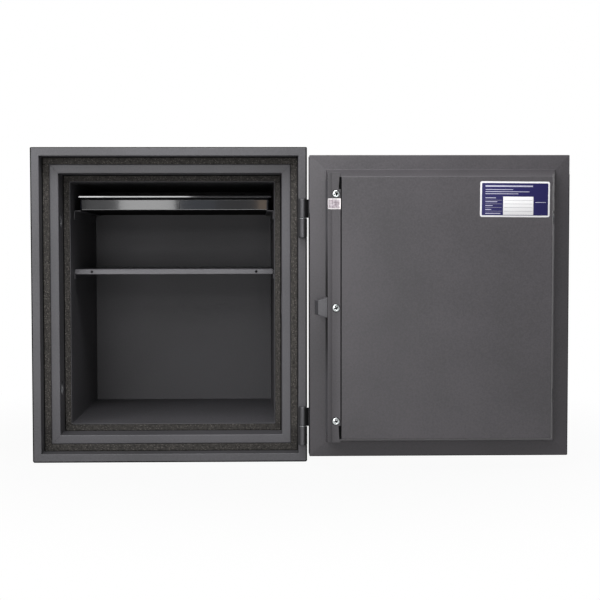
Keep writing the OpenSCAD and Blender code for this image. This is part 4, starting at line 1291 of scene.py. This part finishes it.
foil_low, foil_high = box_mm("foil_seal")
u = np.linspace(-1, 1, 81)[:, None]
v = np.linspace(-1, 1, 65)[None, :]
half_w, half_h = (foil_high[0] - foil_low[0]) / 2, (foil_high[2] - foil_low[2]) / 2
fx, fz = u * half_w + 0 * v, v * half_h + 0 * u
border_w, disc_r, ripple_pitch, hatch_pitch = 1.3, 5.2, 1.9, 1.3
from_middle = np.hypot(fx, fz)
border = soft_step((np.maximum(np.abs(fx) - half_w, np.abs(fz) - half_h) + border_w) * 7)
ripples = 0.5 + 0.5 * np.cos(from_middle * 2 * np.pi / ripple_pitch)
hatch = 0.5 + 0.25 * (np.cos((fx + fz) * 2 * np.pi / hatch_pitch)
                      + np.cos((fx - fz) * 2 * np.pi / hatch_pitch))
disc = soft_step((disc_r - from_middle) * 3)
relief_h = 0.1 * border + (1 - border) * (0.09 * ripples * disc + 0.07 * hatch * (1 - disc))
curl = 0.06 * (u ** 4 + 0 * v)
foil_mid = ((foil_low + foil_high) / 2)[[0, 2]]
step_down = low_step_y - strip_top_y
sag = step_down * soft_step((step_x + 0.2 - foil_mid[0] - fx) * 5)
foil_top = along_y(foil_mid[0] + fx, foil_mid[1] + fz, foil_low[1] - relief_h - curl + 0.12 + sag)
foil_under = along_y(foil_mid[0] + fx, foil_mid[1] + fz, foil_high[1] + sag)
rim_order = [(slice(None, -1), 0), (-1, slice(None, -1)), (slice(None, 0, -1), -1),
             (0, slice(None, 0, -1))]
rim_top = np.concatenate([foil_top[i] for i in rim_order])
rim_under = np.concatenate([foil_under[i] for i in rim_order])
seal_foil = piece("foil_seal_embossed",
                  [skin(foil_top, round_columns=False), skin(foil_under, round_columns=False),
                   skin(np.stack([rim_top, rim_under]))],
                  foil, "door", ["foil_seal"])
tone_amount(seal_foil, lambda x, y, z: soft_step(4 * (border_w + 0.1 + np.maximum(
    np.abs(x - foil_mid[0]) - half_w, np.abs(z - foil_mid[1]) - half_h))))

# %% [markdown]
# ## The blank data plate
#
# The door carries a vinyl label: white border, navy field, and a white panel ruled in grey for
# whoever fills it in. It bears no lettering: plain pale bars stand where a label of this kind
# has its heading and the names of its rows. Each ink is a thin layer of its own, which keeps
# every edge sharp at any distance and needs no picture.

# %% Laying ink on the label
plate_low, plate_high = box_mm("rating_plate")
plate_w, plate_h = plate_high[0] - plate_low[0], plate_high[2] - plate_low[2]
plate_mid = (plate_low + plate_high) / 2
askew = math.radians(-0.5)


def stuck_on(p, q, level):
    """p is X and q is Z, turned a little about the label's middle, as a hand sticks it on."""
    x, z = p - plate_mid[0], q - plate_mid[2]
    turned_x = x * math.cos(askew) - z * math.sin(askew)
    turned_z = x * math.sin(askew) + z * math.cos(askew)
    return along_y(plate_mid[0] + turned_x, plate_mid[2] + turned_z, level)


def layer(left, right, bottom, top, radius, lift, thick=0.08):
    """A flat rounded patch on the label, measured from its lower left corner."""
    rect = (plate_low[0] + left, plate_low[0] + right, plate_low[2] + bottom, plate_low[2] + top)
    level = plate_low[1] - lift
    return skin(ring(rect, [0, 0, 0.03], [level + thick, level + 0.02, level],
                     [radius] * 3, stuck_on), caps=True)


# %% Data plate
vinyl = ring((plate_low[0], plate_high[0], plate_low[2], plate_high[2]),
             [0, 0, 0.06, 0.15], [plate_high[1], plate_low[1] + 0.12, plate_low[1] + 0.03,
                                  plate_low[1]], [3, 3, 3, 3], stuck_on)
piece("label_vinyl", [skin(vinyl, caps=True)], label_white, "door",
      ["rating_plate"])
white_edge, text_left = 2.6, 8.0
piece("label_field",
      [layer(white_edge, plate_w - white_edge, white_edge, plate_h - white_edge, 1.4, 0.04)],
      label_navy, "door")
panel_left, panel_right, panel_low, panel_high = 35.0, 81.0, 3.4, 31.0
piece("label_panel", [layer(panel_left, panel_right, panel_low, panel_high, 0.3, 0.07)],
      label_white, "door")
rows = np.linspace(panel_low, panel_high, 6)[1:-1]
piece("label_rules",
      [layer(panel_left + 1.5, panel_right - 1.5, z - 0.25, z + 0.25, 0.1, 0.1) for z in rows]
      + [layer(text_left, panel_left - 2, z - 0.2, z + 0.2, 0.1, 0.07) for z in rows],
      label_grey, "door")
head_z = np.array([46.8, 41.6, 38.4, 35.2])
head_end = np.array([80, 50, 75, 58])
head_half = np.array([1.1, 0.5, 0.5, 0.5])
rows_left = np.linspace(5.5, 29.0, 5)
row_ends = np.array([31, 17, 19, 26, 24])
bar_half = 0.55
side_bar = (84.0, 100.0, 22.2, 22.9)
piece("label_heading_bars",
      [layer(text_left, end, z - half, z + half, 0.2, 0.07)
       for z, end, half in zip(head_z, head_end, head_half)]
      + [layer(text_left, end, z - bar_half, z + bar_half, 0.2, 0.1)
         for z, end in zip(rows_left, row_ends)]
      + [layer(*side_bar, 0.1, 0.07)], label_pale, "door")

# %% [markdown]
# ## Dog and fire seal
#
# A wedge of steel on the hinge side slides behind the frame as the door closes, so the door
# holds even if its hinges are cut away. The wedge is a block whose four upright edges lean,
# with every edge ground round.

# %% Dog
dog_low, dog_high = box_mm("hinge_side_dog")
dog_mid = (dog_low[2] + dog_high[2]) / 2
root_x, tip_x = dog_high[0], dog_low[0] + 2.5
root_half, tip_half, nose = (dog_high[2] - dog_low[2]) / 2, 11.0, 4.2
wedge = bent([(root_x, dog_mid + root_half), (tip_x, dog_mid + tip_half),
              (tip_x, dog_mid - tip_half), (root_x, dog_mid - root_half)],
             [0.4, 1.6, 1.6, 0.4], guard=0.3)
dog_grid = plate(wedge, dog_high[1], dog_low[1], 0.9, along_y, steps=4)
lean = (dog_high[1] - dog_grid[..., 1]) / (dog_high[1] - dog_low[1])
out = (root_x - dog_grid[..., 0]) / (root_x - tip_x)
dog_grid[..., 0] += nose * lean * np.clip(out, 0, 1)
piece("fixed_dog", [skin(dog_grid, caps=True)], casing_coat, "door",
      ["hinge_side_dog"])

# %% [markdown]
# ### The fire seal
#
# Above and below the wedge runs a strip that swells in a fire and closes the gap. It is
# extruded with fine ribs, so its section is a row of waves pushed upwards. It is painted
# near-black close to the wedge and less so further away: painted shade.

# %% Fire seal
seal_low, seal_high = box_mm("hinge_side_seal")
rib_pitch, rib_half = 3.0, 0.25
seal_shells = []
for low_z, high_z in ((seal_low[2], dog_low[2] - 1), (dog_high[2] + 1, seal_high[2])):
    span = np.linspace(seal_high[1], seal_low[1], 64)
    wave = np.cos((span - span[0]) / rib_pitch * 2 * np.pi)
    rib = seal_low[0] + rib_half - rib_half * wave
    level_z = np.linspace(low_z, high_z, 40)
    ribbed = np.column_stack([np.append(rib, [seal_high[0]] * 2),
                              np.append(span, [seal_low[1], seal_high[1]])])
    flat = 0 * level_z[:, None]
    seal_shells.append(skin(lying(ribbed[:, 0] + flat, ribbed[:, 1] + flat,
                                  level_z[:, None] + 0 * ribbed[:, 0]), caps=True))
seal = piece("fire_seal_strip", seal_shells, seal_rubber, "door",
             ["hinge_side_seal"])
# Painted shade: near-black close to the wedge, fading further away.
tone_amount(seal, lambda x, y, z: 0.95 - np.clip((np.abs(z - dog_mid) - 45) / 90, 0, 0.8))

# %% [markdown]
# ## Lever handle
#
# Outside, a lever turns the bolts. It is a chrome casting: a round hub on a dished rose, and a
# grip that flows out of it and hangs down when the bolts are drawn. The grip is a circle
# carried along a curve; its radius shrinks towards the tip and the section is a little
# flattened, as a hand likes it. The curve passes through a few knots, measured from the
# spindle: out of the door, then down.

# %% Rose and lever
rose_low, rose_high = box_mm("handle_rose")
rose_r, rose_bore_r = (rose_high[0] - rose_low[0]) / 2, 12.5
rose_profile = bent(
    [(rose_bore_r, DOOR_FACE), (rose_r, DOOR_FACE), (rose_r - 1.2, DOOR_FACE + 3.2),
     (rose_r - 5, rose_high[1] - 1.6), (rose_bore_r + 3, rose_high[1]),
     (rose_bore_r, rose_high[1])], [0.2, 0.5, 1.6, 3.0, 1.0, 0.5])
piece("dished_rose", [skin(turned(rose_profile, (spindle_x, 0, spindle_z), "y", 72),
                           round_rows=True)], chrome, "door", ["handle_rose"])

lever_low = box_mm("handle_lever")[0]
tip_len, tip_rings = 7.2, 8
grip_end = lever_low[2] + tip_len + 0.3
knots = np.array([[0, 22, 0], [0, 36, -4], [0, 43, -20], [0, 44, -48], [0, 43.5, -78],
                  [0, 42, grip_end - spindle_z]], float)


def smooth_path(points, steps):
    """A Catmull-Rom curve: each span is the cubic that leaves and arrives along its chords."""
    p = np.vstack([2 * points[0] - points[1], points, 2 * points[-1] - points[-2]])
    t = np.linspace(0, 1, steps, endpoint=False)[None, :, None]
    a, b, c, d = (p[i:len(p) - 3 + i, None] for i in range(4))
    spans = 0.5 * (2 * b + (c - a) * t + (2 * a - 5 * b + 4 * c - d) * t ** 2
                   + (3 * b - a - 3 * c + d) * t ** 3)
    return np.vstack([spans.reshape(-1, 3), points[-1:]])


path = smooth_path(knots, 10)
heading = unit(np.gradient(path, axis=0))
across = np.array([1.0, 0, 0])
other = np.cross(heading, across)
t, stations = np.linspace(0, 1, len(path)), [0, 0.18, 0.45, 1]
width = np.interp(t, stations, [10.5, 9.4, 8.6, 7.4])
thick = np.interp(t, stations, [10.5, 8.8, 7.2, 6.2])
rounding = np.sqrt(np.clip(1 - np.linspace(0.25, 1, tip_rings) ** 2, 0, 1))
tail = path[-1] + heading[-1] * tip_len * np.linspace(0.0, 1, tip_rings)[:, None]
path = np.vstack([path, tail])
other, width, thick = (np.concatenate([v, np.repeat(v[-1:], tip_rings, 0)])
                       for v in (other, width, thick))
width[-tip_rings:] *= rounding / rounding[0]
thick[-tip_rings:] *= rounding / rounding[0]
angle = np.linspace(0, 2 * np.pi, 48, endpoint=False)[None, :, None]
grip = (path[:, None] + np.cos(angle) * width[:, None, None] * across
        + np.sin(angle) * thick[:, None, None] * other[:, None])
grip += (spindle_x, DOOR_FACE, spindle_z)
hub_r, hub_foot, hub_rim, hub_top = 12, DOOR_FACE + 0.5, DOOR_FACE + 46, DOOR_FACE + 48
hub_profile = bent([(0, hub_foot), (hub_r, hub_foot), (hub_r, hub_rim), (0, hub_top)],
                   [1, 0.6, 7.0, 1], closed=False)
piece("lever_handle", [skin(grip, caps=True),
                       skin(turned(hub_profile, (spindle_x, 0, spindle_z), "y", 64))],
      chrome, "handle", ["handle_lever"])

# %% [markdown]
# ## Keyhole and cover
#
# The escutcheon and the cover over the keyhole are drop-shaped plates: a small circle above a
# larger one, joined by their common tangents. The cover hangs from a rivet, whose head is a
# little wider than its hole.

# %% Escutcheon, cover and rivet


def drop(low_r, high_r, low_z, high_z, steps=40):
    """The outline round two circles: arcs joined by their two common tangents.

    The tangents touch where the radius leans from level by the angle whose sine is the
    difference of the radii over the distance between the centres.
    """
    tilt = math.asin((low_r - high_r) / (high_z - low_z))
    a = np.linspace(tilt, np.pi - tilt, steps)
    b = np.linspace(np.pi - tilt, 2 * np.pi + tilt, steps)
    upper = np.column_stack([high_r * np.cos(a), high_z + high_r * np.sin(a)])
    lower = np.column_stack([low_r * np.cos(b), low_z + low_r * np.sin(b)])
    return np.vstack([upper, lower]) + (spindle_x, 0)


escutcheon_top = box_mm("keyhole_escutcheon")[1][1]
escutcheon = piece("drop_escutcheon",
                   [skin(plate(drop(15, 8, core_z, rivet_z), DOOR_FACE, escutcheon_top, 0.9,
                               along_y), caps=True)],
                   chrome, "door", ["keyhole_escutcheon"])
cut(escutcheon, [rod(spindle_x, core_z, core_r + 0.05, DOOR_FACE - 2, DOOR_FACE + 4)])
cover_low, cover_high = box_mm("keyhole_cover")
piece("swinging_cover",
      [skin(plate(drop(11, 5.5, core_z, rivet_z), cover_low[1], cover_high[1], 0.8, along_y),
            caps=True)], chrome, "cover", ["keyhole_cover"])
shank_r, shank_foot, under_head, rivet_r = 1.9, DOOR_FACE - 3, rivet_high[1] - 1.0, 3.6
rivet_profile = bent([(0, shank_foot), (shank_r, shank_foot), (shank_r, under_head),
                      (rivet_r, under_head), (rivet_r - 0.6, rivet_high[1] - 0.2),
                      (0, rivet_high[1])], [1, 0.1, 0.1, 0.15, 0.6, 1], closed=False, guard=0.1)
piece("cover_pivot_rivet", [skin(turned(rivet_profile, (spindle_x, 0, rivet_z), "y", 32))],
      zinc, "door", ["cover_rivet"])

# %% [markdown]
# ### The bolts
#
# The bolts are phosphated bars with a chamfered nose, and their ends show in the side of the
# plug. Each is a profile turned about its own axis, with a thinner neck where it is fixed.

# %% Bolts
neck_r, neck_len, chamfer = 4, 12, 1.6
for level in ("upper", "lower"):
    low, high = box_mm(f"{level}_bolt")
    y, z, r = (low[1] + high[1]) / 2, (low[2] + high[2]) / 2, (high[2] - low[2]) / 2
    bolt_profile = bent([(0, low[0]), (neck_r, low[0]), (neck_r, low[0] + neck_len),
                         (r, low[0] + neck_len), (r, high[0] - chamfer),
                         (r - chamfer, high[0]), (0, high[0])],
                        [0.5, 0.3, 0.3, 0.4, 0.4, 0.4, 0.5], closed=False, guard=0.3)
    piece(f"{level}_round_bolt", [skin(turned(bolt_profile, (0, y, z), "x", 48))], bolt_steel,
          "boltwork", [f"{level}_bolt"])

# %% [markdown]
# ## Finishes for the parts that keep their engineering shape
#
# Pins, bushes, sockets and the hidden boltwork already have the right form, being plain turned
# or milled pieces. They only need the right metal, so each takes its material by its slot.

# %% Carried-over parts
by_slot = {"casing_paint": casing_coat, "door_paint": door_coat, "liner_paint": liner_coat,
           "hinge_paint": hinge_coat, "thermal_break": compound, "cast_fill": cast_fill,
           "bare_steel": steel, "bright_steel": chrome, "screw_zinc": zinc,
           "brass_parts": brass, "tray_shell": smoke_plastic, "fire_seal": seal_rubber,
           "foil_label": foil, "plate_print": label_white, "plug_plastic": black_plastic}
for part in frame["record"]["subparts"]:
    node = frame["nodes"][part["node"]]
    node.data.materials.clear()
    node.data.materials.append(by_slot[part["material_slot"]])
washers = frame["nodes"]["hinge_washers"].data.materials
washers.clear()
washers.append(steel)

# %% [markdown]
# ## Floor and light
#
# A product studio has a white sweep and large soft lights. The floor keeps a faint shadow
# under the safe and turns paper white away from it. The camera and the mirrors see mostly its
# white; the safe is lit by a mid grey instead, so that the sweep throws little light upwards.

# %% Floor
FLOOR_M = 12
bpy.ops.mesh.primitive_plane_add(size=FLOOR_M, location=(0, 0, 0))
floor = bpy.context.object
floor.name = "studio_floor"
paper = bpy.data.materials.new("white_sweep")
paper.use_nodes = True
tree = paper.node_tree
tree.nodes.clear()
ray = add(tree, "ShaderNodeLightPath")
lit = add(tree, "ShaderNodeBsdfDiffuse", {"Color": linear("#8c8c8c")})
glow = add(tree, "ShaderNodeEmission", {"Color": (1, 1, 1, 1), "Strength": 1.0})
mirrored = add(tree, "ShaderNodeMath", {0: ray.outputs["Is Glossy Ray"],
                                        1: ray.outputs["Is Transmission Ray"]},
               operation="MAXIMUM")
seen = add(tree, "ShaderNodeMath", {0: ray.outputs["Is Camera Ray"], 1: mirrored.outputs[0]},
           operation="MAXIMUM")
ground = add(tree, "ShaderNodeTexCoord").outputs["Object"]
centre = add(tree, "ShaderNodeVectorMath", {0: ground, 1: (-0.2, 0, 0)}, operation="ADD")
away = add(tree, "ShaderNodeVectorMath", {0: centre.outputs[0]}, operation="LENGTH")
white_out = add(tree, "ShaderNodeMapRange",
                {"Value": away.outputs["Value"], "From Min": 0.35, "From Max": 0.95,
                 "To Min": 0.95, "To Max": 1.0}, interpolation_type="SMOOTHSTEP")
share = add(tree, "ShaderNodeMath", {0: seen.outputs[0], 1: white_out.outputs[0]},
            operation="MULTIPLY")
mixed = add(tree, "ShaderNodeMixShader", {0: share.outputs[0], 1: lit.outputs[0],
                                          2: glow.outputs[0]})
add(tree, "ShaderNodeOutputMaterial", {"Surface": mixed.outputs[0]})
floor.data.materials.append(paper)
print("floor:", FLOOR_M, "m square")

# %% [markdown]
# ### The world
#
# The world round the studio is white where the camera sees it, directly or through the clear
# tray. It lights the scene with a fifth of that, and mirrors show a grey between the two, so
# that polished parts keep dark sides.

# %% World
world = bpy.data.worlds.new("studio")
bpy.context.scene.world = world
world.use_nodes = True
tree = world.node_tree
tree.nodes.clear()
ray = add(tree, "ShaderNodeLightPath")
faint_gloss = add(tree, "ShaderNodeMath", {0: ray.outputs["Is Glossy Ray"], 1: 0.24},
                  operation="MULTIPLY")
through = add(tree, "ShaderNodeMath", {0: ray.outputs["Is Camera Ray"],
                                       1: ray.outputs["Is Transmission Ray"]},
              operation="MAXIMUM")
shown = add(tree, "ShaderNodeMath", {0: through.outputs[0], 1: faint_gloss.outputs[0]},
            operation="MAXIMUM")
ambient = add(tree, "ShaderNodeBackground", {"Color": (1, 1, 1, 1), "Strength": 0.2})
white = add(tree, "ShaderNodeBackground", {"Color": (1, 1, 1, 1), "Strength": 1.0})
pick = add(tree, "ShaderNodeMixShader", {0: shown.outputs[0], 1: ambient.outputs[0],
                                         2: white.outputs[0]})
add(tree, "ShaderNodeOutputWorld", {"Surface": pick.outputs[0]})
print("world:", len(tree.nodes), "nodes")

# %% [markdown]
# ### The lamps
#
# Every lamp is a rectangle that faces its target. The main light is high on the left, so the
# steel is lighter at its upper left and falls off to the lower right. A polished part shows
# whatever stands before it, so a few cards with next to no power hang behind the camera, and
# the tray's front and the metal mirror them. The last three lamps stand behind the safe and
# light its back and sides for whoever walks round it.

# %% Lamps


def softbox(name, place, target, width, height, power, tint="#ffffff"):
    """A rectangular lamp of that many watts at place, which faces target."""
    lamp = bpy.data.lights.new(name, "AREA")
    lamp.shape = "RECTANGLE"
    lamp.size, lamp.size_y = width, height
    lamp.energy = power
    lamp.color = linear(tint)[:3]
    obj = bpy.data.objects.new(name, lamp)
    obj.location = place
    obj.rotation_euler = (Vector(target) - Vector(place)).to_track_quat("-Z", "Y").to_euler()
    bpy.context.scene.collection.objects.link(obj)


softbox("key_softbox", (-0.6, -1.25, 0.95), (0.05, -0.25, 0.3), 0.8, 0.8, 5.6)
softbox("corner_softbox", (-0.42, -0.5, 0.95), (-0.2, -0.22, 0.48), 0.25, 0.25, 0.6)
softbox("upper_softbox", (0.08, -0.8, 1.1), (0.05, -0.25, 0.47), 0.6, 0.3, 4.2)
softbox("top_softbox", (0.25, -0.75, 1.7), (0.25, -0.35, 0.3), 1.0, 0.5, 7.5)
softbox("middle_softbox", (-0.1, -2.1, 0.64), (-0.05, -0.2, 0.45), 0.5, 0.12, 2.2)
softbox("low_softbox", (-0.15, -2.1, 0.17), (-0.1, 0, 0.3), 1.1, 0.22, 5.2)
softbox("rim_softbox", (-0.275, -2.12, 0.93), (-0.275, 0, 0.4), 0.39, 0.26, 2.6)
softbox("front_card", (-0.222, -2.12, 0.43), (-0.222, 0, 0.43), 0.19, 0.14, 0.35)
softbox("side_card", (-0.372, -2.12, 0.43), (-0.372, 0, 0.43), 0.11, 0.14, 0.02)
softbox("blue_card", (-0.05, -2.12, 0.43), (-0.05, 0, 0.43), 0.12, 0.14, 0.01, "#c4dcff")
softbox("warm_card", (0.172, -2.12, 0.43), (0.172, 0, 0.43), 0.04, 0.14, 0.02, "#ffdcb8")
softbox("left_softbox", (-1.7, 1.9, 1.3), (-0.2, 0.05, 0.25), 1.2, 1.0, 14)
softbox("right_softbox", (1.2, 2.6, 1.3), (0.2, 0.05, 0.25), 1.2, 1.0, 14)
softbox("side_softbox", (2.1, 0.5, 0.9), (0.2, 0, 0.25), 1.0, 1.0, 12)
bpy.context.scene.view_settings.view_transform = "Standard"
print("lamps:", len(bpy.data.lights))
